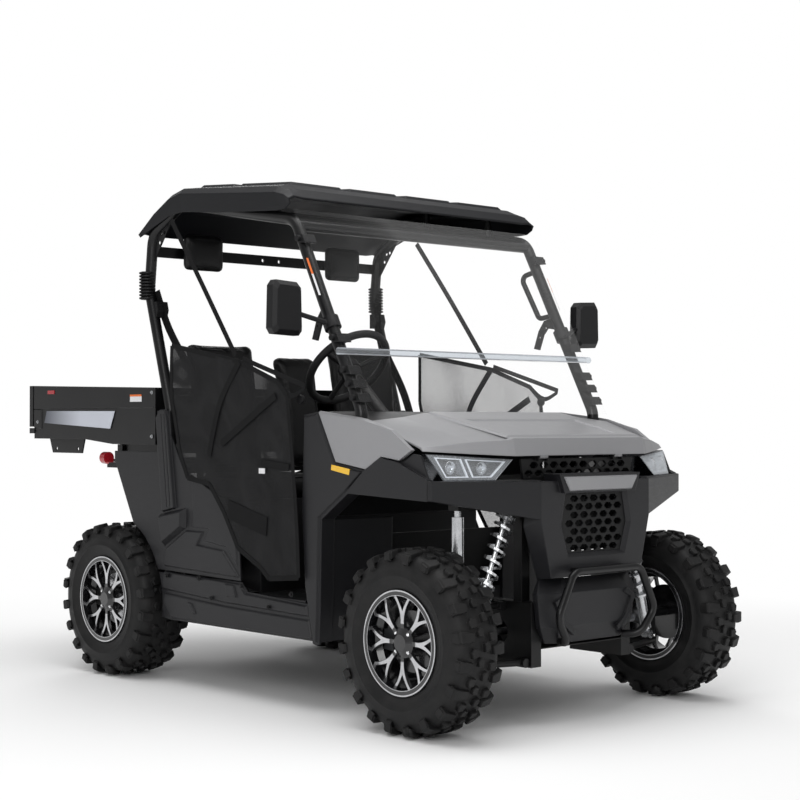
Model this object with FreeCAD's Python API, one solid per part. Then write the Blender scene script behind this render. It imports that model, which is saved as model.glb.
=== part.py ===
import FreeCAD, Part
import math
import os

# A two-seat utility vehicle: roll cage and moulded roof, tipping cargo bed, steered front wheels.
# Millimetres. +X forward, +Y left, +Z up. The frame, cage, seats and bed are drawn with X measured
# from the rear axle. Pieces from the dash forward are drawn with X from the front axle. Heights are
# drawn for wheel centres at AXLE_Z, and export() sets the tyres on the ground.

V = FreeCAD.Vector

# Stance
WHEELBASE = 1870.0
AXLE_Z = 317.5
TYRE_R = 317.5
FRONT_HALF_TRACK = 650.0
REAR_HALF_TRACK = 600.0
FRONT_TYRE_W = 205.0
REAR_TYRE_W = 240.0
REAR_OVERHANG = 690.0
BODY_HALF = 662.0

# Walls and running gaps
PANEL = 8.0
SHEET = 4.0
GAP = 6.0
SEAT = 0.3
PIN_GAP = 0.6
SKIN_INSET = 8.0
LINER_HALF = BODY_HALF - 2 * PANEL
LAMP_HALF = BODY_HALF - 24.0
LAMP_W = 298.0

# Frame
RAIL_HALF = 240.0
RAIL_Z = 295.0
RAIL_SIZE = 50.0
RAIL_TOP = RAIL_Z + RAIL_SIZE / 2
RAIL_LOW = RAIL_Z - RAIL_SIZE / 2
DECK_Z = 890.0
DECK_H = 40.0
DECK_HALF = 290.0
TOWER_Z = 790.0
TOWER_H = 40.0
TOWER_HALF = 370.0
STRUT_Y = 447.0
STRUT_X = -20.0

# Cage, with the front pillar measured from the front axle
CAGE_R = 22.5
CROSS_R = 20.5
CAGE_HALF = BODY_HALF - 40.0
CAGE_BEND = 90.0
CAB_HALF = CAGE_HALF - CAGE_R - SEAT
PILLAR_FOOT = (-306.0, 1060.0)
PILLAR_TOP = (-698.0, 1812.0)
FRONT_POST = -565.0
REAR_POST = [(364.0, 1110.0), (211.0, 1606.0), (236.0, 1832.0)]
ROOF_REAR = (440.0, 1940.0)
HEADREST_BAR_Z = 1765.0
HEADREST_BAR_H = 44.0

# Wheels and tyres
RIM_R = 178.0
BEAD_R = 165.0
LIP_INSET = 17.0
TREAD = 14.0
PITCHES = 16
LUG_W = 50.0
SPOKES = 8
SPOKE_T = 14.0
HUB_R = 52.0
SPINDLE_R = 15.0
DISC_R = 105.0
DISC_T = 5.0
DISC_INSET = 52.0
RIM_INSET = 28.0
KINGPIN_Y = 556.0
KINGPIN_R = 8.0
STEER_ARM = 110.0
ARM_EYE_Z = 95.0
ARM_EYE_R = 17.0
ARM_TUBE_R = 12.0
PIVOT_R = 16.0
REAR_HUB_Y = 452.0
UPRIGHT = 26.0

# Springs
SPRING_R = 31.0
SPRING_WIRE = 9.0
SPRING_TURNS = 8
DAMPER_R = 20.0
PERCH_R = 37.0

# Engine and drive
ENGINE_HALF = RAIL_HALF - RAIL_SIZE / 2 - SEAT
DIFF_HALF = 115.0
SHAFT_BOOT_R = 36.0

# Cab
FLOOR_Z = 405.0
FLOOR_HALF = BODY_HALF - 72.0
SEAT_TOP_Z = 760.0
SEAT_FRONT = 915.0
SEAT_REAR = 415.0
BACK_X = 500.0
BACK_LEAN = -0.16
STEERING_WHEEL_R = 185.0
STEERING_GRIP_R = 15.0
STEERING_WHEEL_AT = V(-774.0, -300.0, 1270.0)
COLUMN_TILT = 42.0
COLUMN_R = 24.0
SHAFT_R = 15.0
RACK_R = 9.0

# Roof: x and height of its crown from the peak forward
ROOF_CROWN = ((480.0, 2005.0), (740.0, 1984.0), (WHEELBASE - 775.0, 1955.0))
ROOF_HALF = BODY_HALF + 3.0

# Bed
BED_FRONT = 306.0
BED_TOP = 1222.0
BED_FLOOR = 985.0
BED_FLOOR_T = 34.0
BED_WALL = 28.0
BED_HINGE = V(-560.0, 0, 936.0)
BED_PIN_R = 10.0
BED_RAIL_Y = 230.0
BED_RAIL_W = 40.0
BED_RIB = 36.0
BED_RIB_PITCH = 120.0
TAILGATE_T = 30.0
TAILGATE_Z = 1020.0
TAILGATE_PIN_R = 5.0
TAILGATE_BARREL_R = 8.0
TAILGATE_EAR = 34.0

# Tow receiver
HITCH_PIN_X = -388.0
HITCH_PIN_R = 8.0
HITCH_HALF = 32.0
HITCH_WALL = 6.0

# Hood, nose and windscreen, measured from the front axle
HOOD_REAR = -268.0
HOOD_HALF = CAGE_HALF + CAGE_R + SEAT - GAP
HOOD_T = 5.0
HOOD_HINGE = V(156.0, 0, 937.0)
HOOD_HINGE_Y = 200.0
HOOD_PIN_R = 3.0
SHELF_Z = 858.0
BUMPER_X = 230.0
BUMPER_WALL = 14.0
BUMPER_HALF = BODY_HALF + 6.0
NOSE_HALF = 290.0
CELL_W = 52.0
CELL_H = 29.0
CELL_BAR = 7.0
GRILLE_T = 12.0
RADIATOR_T = 36.0
FRAME_NOSE = 110.0
BAR_X = 280.0
BAR_R = 14.0
SCREEN_T = 5.0
SCREEN_OFFSET = 42.0
SCREEN_HALF = BODY_HALF - 7.0
FOLD_Z = 1312.0
FOLD_R = 13.0

MIDDLE = (WHEELBASE + TYRE_R - REAR_OVERHANG) / 2


# ---------------------------------------------------------------- shapes

def face(points):
    """A flat face inside a closed polygon."""
    return Part.Face(Part.makePolygon(points + [points[0]]))


def side(points, y0, y1):
    """A side view outline of (x, z) points, taken from y0 to y1."""
    return face([V(x, y0, z) for x, z in points]).extrude(V(0, y1 - y0, 0))


def plan(points, z0, z1):
    """A top view outline of (x, y) points, taken from z0 to z1."""
    return face([V(x, y, z0) for x, y in points]).extrude(V(0, 0, z1 - z0))


def front(points, x0, x1):
    """A front view outline of (y, z) points, taken from x0 to x1."""
    return face([V(x0, y, z) for y, z in points]).extrude(V(x1 - x0, 0, 0))


def block(x0, x1, y0, y1, z0, z1):
    """A plain block between two corners, given in any order."""
    low = V(min(x0, x1), min(y0, y1), min(z0, z1))
    return Part.makeBox(abs(x1 - x0), abs(y1 - y0), abs(z1 - z0), low)


def rod(start, end, radius):
    """A straight round bar."""
    start = V(*start)
    along = V(*end) - start
    return Part.makeCylinder(radius, along.Length, start, along)


def loft(sections):
    """A faceted solid through closed sections that have the same number of corners."""
    return Part.makeLoft([Part.makePolygon(s + [s[0]]) for s in sections], True, True)


def raised(points, y0, y1, bevel):
    """A raised pad on a side panel: a side view outline whose edges slope in by the bevel."""
    foot = face([V(x, y0, z) for x, z in points])
    top = foot.makeOffset2D(-bevel, 2).translated(V(0, y1 - y0, 0))
    return Part.makeLoft([foot.OuterWire, top.Wires[0]], True, True)


def bent_tube(points, radius, bend):
    """A round tube along straight runs that are joined by tangent bends."""
    points = [V(*p) for p in points]
    edges = []
    start = points[0]
    for before, corner, after in zip(points, points[1:], points[2:]):
        arrive = (corner - before).normalize()
        leave = (after - corner).normalize()
        half_turn = arrive.getAngle(leave) / 2
        setback = bend * math.tan(half_turn)
        first = corner - arrive * setback
        last = corner + leave * setback
        inward = (leave - arrive).normalize()
        middle = corner + inward * (bend / math.cos(half_turn) - bend)
        edges.append(Part.LineSegment(start, first).toShape())
        edges.append(Part.Arc(first, middle, last).toShape())
        start = last
    edges.append(Part.LineSegment(start, points[-1]).toShape())
    ring = Part.Wire(Part.Circle(points[0], points[1] - points[0], radius).toShape())
    return Part.Wire(edges).makePipeShell([ring], True, False)


def polar(centre, radius, y, degrees):
    """A point round the line along Y through centre."""
    a = math.radians(degrees)
    return centre + V(radius * math.cos(a), y, radius * math.sin(a))


def turned(profile, centre):
    """A profile of (radius, y) points turned about the line along Y through centre."""
    return face([polar(centre, r, y, 0) for r, y in profile]).revolve(centre, V(0, 1, 0), 360)


def arch_points(radius, first, last, count):
    """Points of a wheel arch round the rear axle, from one angle to another in degrees."""
    points = []
    for n in range(count + 1):
        p = polar(V(0, 0, AXLE_Z), radius, 0, first + (last - first) * n / count)
        points.append((p.x, p.z))
    return points


def mirrored(shape):
    """The same piece on the other side of the vehicle."""
    return shape.mirror(V(0, 0, 0), V(0, 1, 0))


def pair(shape):
    """A piece and its mirror image."""
    return [shape, mirrored(shape)]


def fused(shapes):
    """One solid from pieces that overlap or share a face."""
    return shapes[0].fuse(shapes[1:]).removeSplitter()


def cut_away(shape, tools):
    """A shape with several pieces cut out of it."""
    for tool in tools:
        shape = shape.cut(tool)
    return shape


def both_sides(points):
    """A list of points together with their mirror images, for outlines drawn on one half."""
    return points + [(x, -y) for x, y in reversed(points)]


def both_halves(points):
    """The (y, z) points of one half of a front view together with their mirror images."""
    return points + [(-y, z) for y, z in reversed(points)]


def at_front_axle(shapes):
    """Pieces that are drawn from the front axle, moved to where it is from the rear axle."""
    return [shape.translated(V(WHEELBASE, 0, 0)) for shape in shapes]


def export(name, shapes, origin):
    """Writes one node, whose X is measured from origin. A node of several solids is a compound."""
    shape = shapes[0] if len(shapes) == 1 else Part.makeCompound(shapes)
    shape = shape.translated(V(origin - MIDDLE, 0, TYRE_R - AXLE_Z))
    shape.exportStep("parts/" + name + ".step")


# ---------------------------------------------------------------- frame and cage

def on_pillar(height):
    """X of the front pillar's centre line at a height."""
    (x0, z0), (x1, z1) = PILLAR_FOOT, PILLAR_TOP
    return x0 + (x1 - x0) * (height - z0) / (z1 - z0)


def pillar_bar(low, high, radius):
    """A stretch of bar on the left front pillar's centre line, for clamps and their bores."""
    return rod((on_pillar(low), CAGE_HALF, low), (on_pillar(high), CAGE_HALF, high), radius)


def main_frame():
    """Two box rails with cross members, axle plates, the raised rear deck and the front tower."""
    half = RAIL_SIZE / 2
    under_post = CAGE_HALF + CAGE_R
    rear_post = REAR_POST[0][0]
    post = WHEELBASE + FRONT_POST
    tower = post + CAGE_R + 15
    nose = WHEELBASE + FRAME_NOSE
    deck_low = DECK_Z - DECK_H
    tower_top = TOWER_Z + TOWER_H
    parts = []
    # x0, x1, half length across, z0, z1 of each cross member
    for x0, x1, y, z0, z1 in ((-260, -210, RAIL_HALF, RAIL_LOW, RAIL_TOP),
                              (rear_post - half, rear_post + half, under_post, RAIL_LOW, RAIL_TOP),
                              (post - half, post + half, under_post, RAIL_LOW, RAIL_TOP),
                              (WHEELBASE + 40, WHEELBASE + 90, RAIL_HALF, RAIL_LOW, RAIL_TOP),
                              (rear_post - half, rear_post + half, CAB_HALF, deck_low, DECK_Z),
                              (BED_HINGE.x - 30, BED_HINGE.x + 10, DECK_HALF, deck_low, DECK_Z),
                              (230, 270, DECK_HALF, deck_low, DECK_Z),
                              (tower, tower + TOWER_H, CAB_HALF, TOWER_Z, TOWER_Z + 60),
                              (WHEELBASE + STRUT_X - 25, WHEELBASE + STRUT_X + 25, STRUT_Y + DAMPER_R,
                               TOWER_Z - TOWER_H, TOWER_Z),
                              (nose - TOWER_H, nose, TOWER_HALF, TOWER_Z, tower_top)):
        parts.append(block(x0, x1, -y, y, z0, z1))
    rest_top = BED_HINGE.z - 14 - SEAT
    inner = DECK_HALF - half
    right = [block(-260, WHEELBASE + 160, RAIL_HALF - half, RAIL_HALF + half, RAIL_LOW, RAIL_TOP),
             block(BED_HINGE.x - 30, rear_post, DECK_HALF - half, DECK_HALF + half, deck_low, DECK_Z),
             block(tower, nose, RAIL_HALF - half, RAIL_HALF + half, TOWER_Z, tower_top),
             block(nose - TOWER_H, nose, RAIL_HALF - DAMPER_R, RAIL_HALF + DAMPER_R, RAIL_LOW, tower_top),
             block(-250, -210, RAIL_HALF - half, DECK_HALF + half, RAIL_LOW, DECK_Z),
             block(BED_HINGE.x - 20, BED_HINGE.x + 20, inner - 9, inner, deck_low, BED_HINGE.z + 20),
             rod((BED_HINGE.x, BED_RAIL_Y - 26, BED_HINGE.z), (BED_HINGE.x, inner, BED_HINGE.z), BED_PIN_R),
             block(230, 270, BED_RAIL_Y - BED_RAIL_W / 2, BED_RAIL_Y + BED_RAIL_W / 2, DECK_Z - 20,
                   rest_top)]
    # x0, x1 of the plate beside each axle that carries the arms
    for x0, x1 in ((-190, 110), (WHEELBASE - 90, WHEELBASE + 160)):
        right.append(block(x0, x1, RAIL_HALF - half, RAIL_HALF + half, AXLE_Z - ARM_EYE_Z - 18,
                           AXLE_Z + ARM_EYE_Z + 18))
    for piece in right:
        parts += pair(piece)
    frame = fused(parts)
    for x in (0, WHEELBASE):
        frame = frame.cut(rod((x, -DECK_HALF - half, AXLE_Z), (x, DECK_HALF + half, AXLE_Z),
                              SHAFT_BOOT_R + 10))
    return [frame]


def gusset(corner, along, down, hole_r):
    """A corner plate between a rear post and the roof rail, with three holes."""
    x, z = corner
    plate = side([(x, z), (x + along, z + along * 0.45), (x + 10, z - down), (x - 22, z - down)],
                 CAGE_HALF - SHEET / 2, CAGE_HALF + SHEET / 2)
    holes = []
    for dx, dz in ((62, 0), (48, -36), (84, 4)):
        holes.append(rod((x + dx, CAGE_HALF - PANEL, z + dz), (x + dx, CAGE_HALF + PANEL, z + dz), hole_r))
    return cut_away(plate, holes)


def roof_crown(x):
    """Height of the roof's crown between its peak and its nose."""
    for (x0, z0), (x1, z1) in zip(ROOF_CROWN, ROOF_CROWN[1:]):
        if x <= x1:
            return z0 + (z1 - z0) * (x - x0) / (x1 - x0)
    return z1


def roll_cage():
    """Two bent side hoops from the front pillars over the cab to the rear posts, with cross tubes."""
    ahead = WHEELBASE
    post = ahead + FRONT_POST
    foot = (ahead + PILLAR_FOOT[0], PILLAR_FOOT[1])
    top = (ahead + PILLAR_TOP[0], PILLAR_TOP[1])
    outline = [(post, RAIL_TOP), (post, 800), foot, top, ROOF_REAR] + list(reversed(REAR_POST))
    outline.append((REAR_POST[0][0], RAIL_TOP))
    parts = pair(bent_tube([(x, CAGE_HALF, z) for x, z in outline], CAGE_R, CAGE_BEND))
    # x and z of each round cross tube between the hoops
    for x, z in ((ahead + on_pillar(1790), 1790), (REAR_POST[0][0] - 10, 1150)):
        parts.append(rod((x, -CAGE_HALF, z), (x, CAGE_HALF, z), CROSS_R))
    bar_x = REAR_POST[1][0] + 12
    half = HEADREST_BAR_H / 2
    bar = block(bar_x - 5, bar_x + 5, -CAGE_HALF, CAGE_HALF, HEADREST_BAR_Z - half, HEADREST_BAR_Z + half)
    bar_holes = [rod((bar_x - PANEL, y, HEADREST_BAR_Z), (bar_x + PANEL, y, HEADREST_BAR_Z), 8)
                 for y in (-42, 48)]
    parts.append(cut_away(bar, bar_holes))
    # x of each roof bearer, with the pegs that carry the roof
    for x in (620, ahead - 870):
        peg = roof_crown(x + 14) - PANEL - SEAT
        rail_z = top[1] + (ROOF_REAR[1] - top[1]) * (top[0] - x) / (top[0] - ROOF_REAR[0])
        parts.append(rod((x, -CAGE_HALF, rail_z), (x, CAGE_HALF, rail_z), CROSS_R - SHEET))
        parts += pair(rod((x, CAGE_HALF - 52, rail_z), (x, CAGE_HALF - 52, peg), 14))
    parts += pair(gusset((REAR_POST[2][0], REAR_POST[2][1]), 150, 110, 7))
    return [fused(parts)]


# ---------------------------------------------------------------- wheels

def faceted_ring(rings):
    """A closed ring of flat faces through sections that follow one another round an axis."""
    faces = []
    for near, far in zip(rings, rings[1:] + rings[:1]):
        for n in range(len(near)):
            faces.append(face([near[n - 1], near[n], far[n], far[n - 1]]))
    shell = Part.makeShell(faces)
    shell.sewShape()
    return Part.Solid(shell)


def tyre_section(half, radius):
    """The (radius, y) outline of a tyre's carcass, out to the floor of its tread."""
    outer = [(BEAD_R, half - 20), (radius - 62, half), (radius - TREAD - 6, half - 18)]
    return outer + [(r, -y) for r, y in reversed(outer)]


def shoulder_lug(centre, section, turn):
    """A tread block on the shoulder: a (radius, y) section carried along the rim of the tyre."""
    along = polar(V(0, 0, 0), LUG_W, 0, turn + 90)
    start = [polar(centre, r, y, turn) - along * 0.5 for r, y in section]
    return face(start).extrude(along)


def middle_lug(centre, turn):
    """A slanted tread block on the middle of the tyre."""
    along = polar(V(0, 0, 0), LUG_W * 0.33, 0, turn + 90)
    floor = polar(centre, TYRE_R - TREAD - 10, 0, turn)
    slant = V(0, 30, 0) + along * 0.5
    corners = [floor - slant - along, floor + slant - along, floor + slant + along, floor - slant + along]
    return face(corners).extrude(polar(V(0, 0, 0), TREAD + 8, 0, turn))


def tyre(centre, width):
    """A tyre: a carcass of flat facets with staggered shoulder lugs and slanted middle lugs."""
    half = width / 2
    step = 360.0 / PITCHES
    section = tyre_section(half, TYRE_R)
    stretch = 1 / math.cos(math.radians(step / 4))
    rings = [[polar(centre, r * stretch, y, step / 2 * (n + 0.5)) for r, y in section]
             for n in range(2 * PITCHES)]
    shoulder = [(TYRE_R - TREAD - 12, half - 56), (TYRE_R, half - 56), (TYRE_R - 6, half - 16),
                (TYRE_R - 50, half + 2)]
    blocks = []
    for n in range(PITCHES):
        turn = step * n
        blocks.append(shoulder_lug(centre, shoulder, turn))
        blocks.append(shoulder_lug(centre, [(r, -y) for r, y in shoulder], turn + step / 2))
        blocks.append(middle_lug(centre, turn))
    return [fused([faceted_ring(rings)] + blocks)]


def spoke(centre, face_y, outward, turn):
    """One forked spoke of an alloy wheel, with curved edges, that runs from the hub to the barrel."""
    back_y = face_y - outward * (SPOKE_T - 2)
    reach = BEAD_R - 5

    def at(radius, degrees):
        return polar(centre, radius, back_y, turn + degrees)

    def arc(a, b, c):
        return Part.Arc(at(*a), at(*b), at(*c)).toShape()

    def line(a, b):
        return Part.LineSegment(at(*a), at(*b)).toShape()

    root = HUB_R - 8
    fork = HUB_R + 54
    outline = [arc((root, -13), (fork - 12, -6), (reach, -16)), line((reach, -16), (reach, -11.4)),
               arc((reach, -11.4), (fork + 22, -5.2), (fork, 0)),
               arc((fork, 0), (fork + 22, 5.2), (reach, 11.4)),
               line((reach, 11.4), (reach, 16)), arc((reach, 16), (fork - 12, 6), (root, 13)),
               line((root, 13), (root, -13))]
    return Part.Face(Part.Wire(outline)).extrude(V(0, outward * SPOKE_T, 0))


def disc_face(track, width, outward):
    """The y of the inner face of a wheel's brake disc."""
    return outward * (track + width / 2 - RIM_INSET - DISC_INSET)


def rim(centre, width, outward):
    """An alloy wheel: barrel with rolled lips, forked spokes, hub cap, and the brake disc behind it."""
    half = width / 2
    bead = BEAD_R - SEAT
    lip = half - LIP_INSET + SEAT
    outer = [(RIM_R, lip + PANEL), (RIM_R, lip), (bead, lip), (bead, half - 50), (bead - 19, half - 66)]
    inner = [(bead - 25, half - 62), (bead - 6, half - 46), (bead - 6, lip + PANEL)]
    outline = outer + [(r, -y) for r, y in reversed(outer)] + [(r, -y) for r, y in reversed(inner)] + inner
    face_y = outward * (half - RIM_INSET)
    bore = SPINDLE_R + 1
    cap = HUB_R * 0.54
    parts = [turned(outline, centre)]
    parts.append(turned([(bore, face_y - outward * 40), (HUB_R, face_y - outward * 40), (HUB_R, face_y),
                         (cap, face_y + outward * 14), (0, face_y + outward * 14), (0, face_y - outward * 4),
                         (bore, face_y - outward * 4)], centre))
    parts += [spoke(centre, face_y, outward, 360.0 / SPOKES * n) for n in range(SPOKES)]
    disc_y = face_y - outward * DISC_INSET
    bell_y = disc_y + outward * 12.5
    parts.append(turned([(bore, disc_y), (DISC_R, disc_y), (DISC_R, disc_y + outward * DISC_T),
                         (HUB_R, disc_y + outward * DISC_T), (HUB_R, bell_y), (bore, bell_y)], centre))
    return [fused(parts)]


def caliper(x, inner_y, disc_y):
    """A brake caliper behind the axle, carried by the upright and open round the disc."""
    z = AXLE_Z
    outside = disc_y + DISC_T + 20
    body = side([(x - 122, z - 34), (x - 72, z - 40), (x - 72, z + 40), (x - 122, z + 34)], disc_y - 20,
                outside)
    slot = block(x - DISC_R - GAP, x, disc_y - GAP, disc_y + DISC_T + GAP, z - 60, z + 60)
    arm = block(x - 90, x, inner_y, inner_y + 14, z + 14, z + 38)
    leg = block(x - 90, x - 74, inner_y, disc_y - 15, z + 14, z + 38)
    return fused([body.cut(slot), arm, leg])


def knuckle(hand):
    """A steering knuckle: upright, kingpin, spindle, steering arm and brake caliper."""
    y = KINGPIN_Y
    z = AXLE_Z
    arm_end = -STEER_ARM - 14
    parts = [block(-UPRIGHT, UPRIGHT, y - 8, y + 22, z - ARM_EYE_Z + 16, z + ARM_EYE_Z - 16)]
    parts.append(rod((0, y, z - ARM_EYE_Z - 18), (0, y, z + ARM_EYE_Z + 18), KINGPIN_R))
    parts.append(rod((0, y, z), (0, FRONT_HALF_TRACK + FRONT_TYRE_W / 2 - 60, z), SPINDLE_R))
    parts.append(plan([(-20, y - 8), (-20, y + 18), (arm_end, y + 12), (arm_end, y - 14)], z - 12, z))
    parts.append(caliper(0, y + 2, disc_face(FRONT_HALF_TRACK, FRONT_TYRE_W, 1)))
    shape = fused(parts)
    return [shape if hand > 0 else mirrored(shape)]


def arm_tubes(z, tip_y, ends):
    """The tubes of an A arm, each from its x at the tip to its pivot's x on the frame."""
    pivot_y = RAIL_HALF + RAIL_SIZE / 2 + PIVOT_R + SEAT
    parts = []
    for tip, pivot in ends:
        parts.append(rod((tip, tip_y, z), (pivot, pivot_y, z), ARM_TUBE_R))
        parts.append(rod((pivot - 22, pivot_y, z), (pivot + 22, pivot_y, z), PIVOT_R))
    return parts


def front_arms():
    """Lower and upper A arms, each with an eye round the kingpin at its tip."""
    y = KINGPIN_Y
    shapes = []
    for z, ends in ((AXLE_Z - ARM_EYE_Z, ((0, -70), (48, 130))), (AXLE_Z + ARM_EYE_Z, ((0, -70), (0, 20)))):
        tip = ends[1][0]
        parts = [rod((0, y, z - 11), (0, y, z + 11), ARM_EYE_R)]
        parts += arm_tubes(z, y, ends[:1]) + arm_tubes(z, y - tip / 3, ends[1:])
        if tip:
            parts.append(rod((0, y, z), (tip, y - tip / 3, z), ARM_TUBE_R))
        shapes += pair(fused(parts).cut(rod((0, y, z - 30), (0, y, z + 30), KINGPIN_R + SEAT)))
    return shapes


def rear_arms():
    """Lower and upper A arms with the uprights, calipers and stub axles that they carry."""
    z = AXLE_Z
    parts = [block(-UPRIGHT, UPRIGHT, REAR_HUB_Y - 8, REAR_HUB_Y + 22, z - ARM_EYE_Z - 14,
                   z + ARM_EYE_Z + 14)]
    parts.append(rod((0, REAR_HUB_Y, z), (0, REAR_HALF_TRACK + REAR_TYRE_W / 2 - 60, z), SPINDLE_R))
    parts += arm_tubes(z - ARM_EYE_Z, REAR_HUB_Y + 4, ((0, -165), (0, 74)))
    parts += arm_tubes(z + ARM_EYE_Z, REAR_HUB_Y + 4, ((0, -20), (0, 86)))
    parts.append(caliper(0, REAR_HUB_Y, disc_face(REAR_HALF_TRACK, REAR_TYRE_W, 1)))
    return pair(fused(parts))


def coil(low, along, length):
    """A spring of square wire round a damper, drawn with twelve short runs to a turn."""
    across = V(1, 0, 0)
    up = along.cross(across).normalize()
    across = up.cross(along).normalize()
    runs = 12 * SPRING_TURNS
    sections = []
    for n in range(runs + 1):
        a = math.radians(30.0 * n)
        out = across * math.cos(a) + up * math.sin(a)
        centre = low + along * (length * n / runs)
        half = SPRING_WIRE / 2
        sections.append([centre + out * (SPRING_R + dr * half) + along * (dz * half)
                         for dr, dz in ((-1, -1), (1, -1), (1, 1), (-1, 1))])
    return loft(sections)


def shock(low, high):
    """A coil-over damper: eyes, rod, body, two perches and the coil spring between them."""
    low = V(*low)
    high = V(*high)
    along = (high - low).normalize()
    length = (high - low).Length
    perch = length * 0.3
    top = length - 52
    parts = [Part.makeCylinder(9, length, low, along)]
    parts.append(Part.makeCylinder(DAMPER_R, length * 0.45, low + along * 26, along))
    parts.append(Part.makeCylinder(PERCH_R, PANEL, low + along * perch, along))
    parts.append(Part.makeCylinder(PERCH_R, PANEL, low + along * top, along))
    parts.append(coil(low + along * (perch + PANEL), along, top - perch - PANEL))
    for eye in (low, high):
        parts.append(Part.makeCylinder(PIVOT_R, 34, eye - V(17, 0, 0), V(1, 0, 0)))
    return fused(parts)


def front_shocks():
    """The front coil-over dampers, from the lower arms to the tower, and the bright struts beside them."""
    seat = ARM_TUBE_R + PIVOT_R + SEAT
    low = AXLE_Z - ARM_EYE_Z + seat
    shapes = pair(shock((58, 492, low), (92, 300, TOWER_Z - PIVOT_R - SEAT)))
    foot = AXLE_Z + ARM_EYE_Z + seat
    top = TOWER_Z - TOWER_H - SEAT
    strut = [rod((STRUT_X - 26, STRUT_Y, foot), (STRUT_X + 38, STRUT_Y, foot), PIVOT_R),
             rod((STRUT_X, STRUT_Y, foot), (STRUT_X, STRUT_Y, top), 12),
             rod((STRUT_X, STRUT_Y, foot + 60), (STRUT_X, STRUT_Y, top - 22), DAMPER_R + 2)]
    return shapes + pair(fused(strut))


def rear_shocks():
    """The rear coil-over dampers, from the lower arms to the deck."""
    low = AXLE_Z - ARM_EYE_Z + ARM_TUBE_R + PIVOT_R + SEAT
    return pair(shock((-62, 382, low), (-110, DECK_HALF, DECK_Z - DECK_H - PIVOT_R - SEAT)))


def shocks():
    """All dampers, from the rear axle."""
    return at_front_axle(front_shocks()) + rear_shocks()


def half_shaft(inner, outer):
    """A drive shaft with a boot at each end."""
    neck = SHAFT_BOOT_R * 2 / 3
    parts = [rod((0, inner, AXLE_Z), (0, outer, AXLE_Z), 13)]
    parts.append(Part.makeCone(neck, SHAFT_BOOT_R, 50, V(0, outer - 50, AXLE_Z), V(0, 1, 0)))
    parts.append(Part.makeCone(SHAFT_BOOT_R, neck, 50, V(0, inner, AXLE_Z), V(0, 1, 0)))
    return pair(fused(parts))


def front_half_shafts():
    """The front drive shafts, from the front gearbox to the knuckles."""
    return half_shaft(DIFF_HALF + 1, KINGPIN_Y - 41)


def rear_half_shafts():
    """The rear drive shafts, from the gearbox to the uprights."""
    return half_shaft(ENGINE_HALF + SEAT, REAR_HUB_Y - 12)


def half_shafts():
    """All drive shafts, from the rear axle."""
    return at_front_axle(front_half_shafts()) + rear_half_shafts()


def engine():
    """Engine and gearbox under the seat and the front of the bed, as one block."""
    return [side([(-150, 330), (400, 330), (400, 560), (330, 700), (60, 700), (-150, 470)], -ENGINE_HALF,
                 ENGINE_HALF)]


def front_diff():
    """The front gearbox between the rails."""
    return [plan(both_sides([(-74, 70), (-50, DIFF_HALF), (20, DIFF_HALF), (35, 70)]), AXLE_Z - 46.5,
                 AXLE_Z + 67.5)]


# ---------------------------------------------------------------- steering

def column_axis():
    """The direction down the steering column."""
    tilt = math.radians(COLUMN_TILT)
    return V(math.cos(tilt), 0, -math.sin(tilt))


def steering_wheel():
    """A three-spoke steering wheel with its boss and a short stub of shaft."""
    centre = STEERING_WHEEL_AT
    axis = column_axis()
    middle_r = STEERING_WHEEL_R - STEERING_GRIP_R
    parts = [Part.makeTorus(middle_r, STEERING_GRIP_R, centre, axis)]
    parts.append(Part.makeCylinder(44, 34, centre - axis * 4, axis))
    parts.append(Part.makeCylinder(SHAFT_R, 200, centre, axis))
    across = V(0, 1, 0)
    up = axis.cross(across)
    for angle in (90, 205, 335):
        a = math.radians(angle)
        out = across * math.cos(a) - up * math.sin(a)
        start = centre + axis * 12 + out * 30
        run = centre + out * middle_r - start
        parts.append(Part.makeCylinder(10, run.Length, start, run))
    return [fused(parts)]


def steering_column():
    """The column tube that holds the steering shaft."""
    axis = column_axis()
    top = STEERING_WHEEL_AT + axis * 60
    tube = Part.makeCylinder(COLUMN_R, 330, top, axis)
    return [tube.cut(Part.makeCylinder(SHAFT_R + SEAT, 170, top, axis))]


def tie_rods():
    """The steering rack's bar and the two tie rods with their ends, which slide across together."""
    z = AXLE_Z + 20
    parts = [rod((-STEER_ARM, -KINGPIN_Y, z), (-STEER_ARM, KINGPIN_Y, z), RACK_R)]
    for y in (-KINGPIN_Y, KINGPIN_Y):
        parts.append(rod((-STEER_ARM, y, z - 18), (-STEER_ARM, y, z + 12), 13))
    return [fused(parts)]


def steering_rack():
    """The rack housing across the rails."""
    z = AXLE_Z + 20
    outer = rod((-STEER_ARM, -200, z), (-STEER_ARM, 200, z), 26)
    return [outer.cut(rod((-STEER_ARM, -210, z), (-STEER_ARM, 210, z), RACK_R + 1))]


# ---------------------------------------------------------------- cab

def cab_floor():
    """The floor pan with its raised toe board and pressed ribs."""
    t = SHEET
    toe = WHEELBASE - 580
    outline = [(SEAT_FRONT + 5, FLOOR_Z), (toe, FLOOR_Z), (toe + 36, 640), (toe + 36 + t, 640 - 1),
               (toe + t, FLOOR_Z - t), (SEAT_FRONT + 5, FLOOR_Z - t)]
    parts = [side(outline, -FLOOR_HALF, FLOOR_HALF)]
    for y in (-450, -350, -250, 250, 350, 450):
        parts.append(block(SEAT_FRONT + 25, toe - 10, y - 8, y + 8, FLOOR_Z - SEAT, FLOOR_Z + 5))
    return [fused(parts)]


def skid_plate():
    """The belly plate under the rails."""
    half = RAIL_HALF - RAIL_SIZE / 2 - SEAT
    return [block(-240, WHEELBASE + 160, -half, half, RAIL_LOW - SHEET, RAIL_LOW)]


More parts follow.
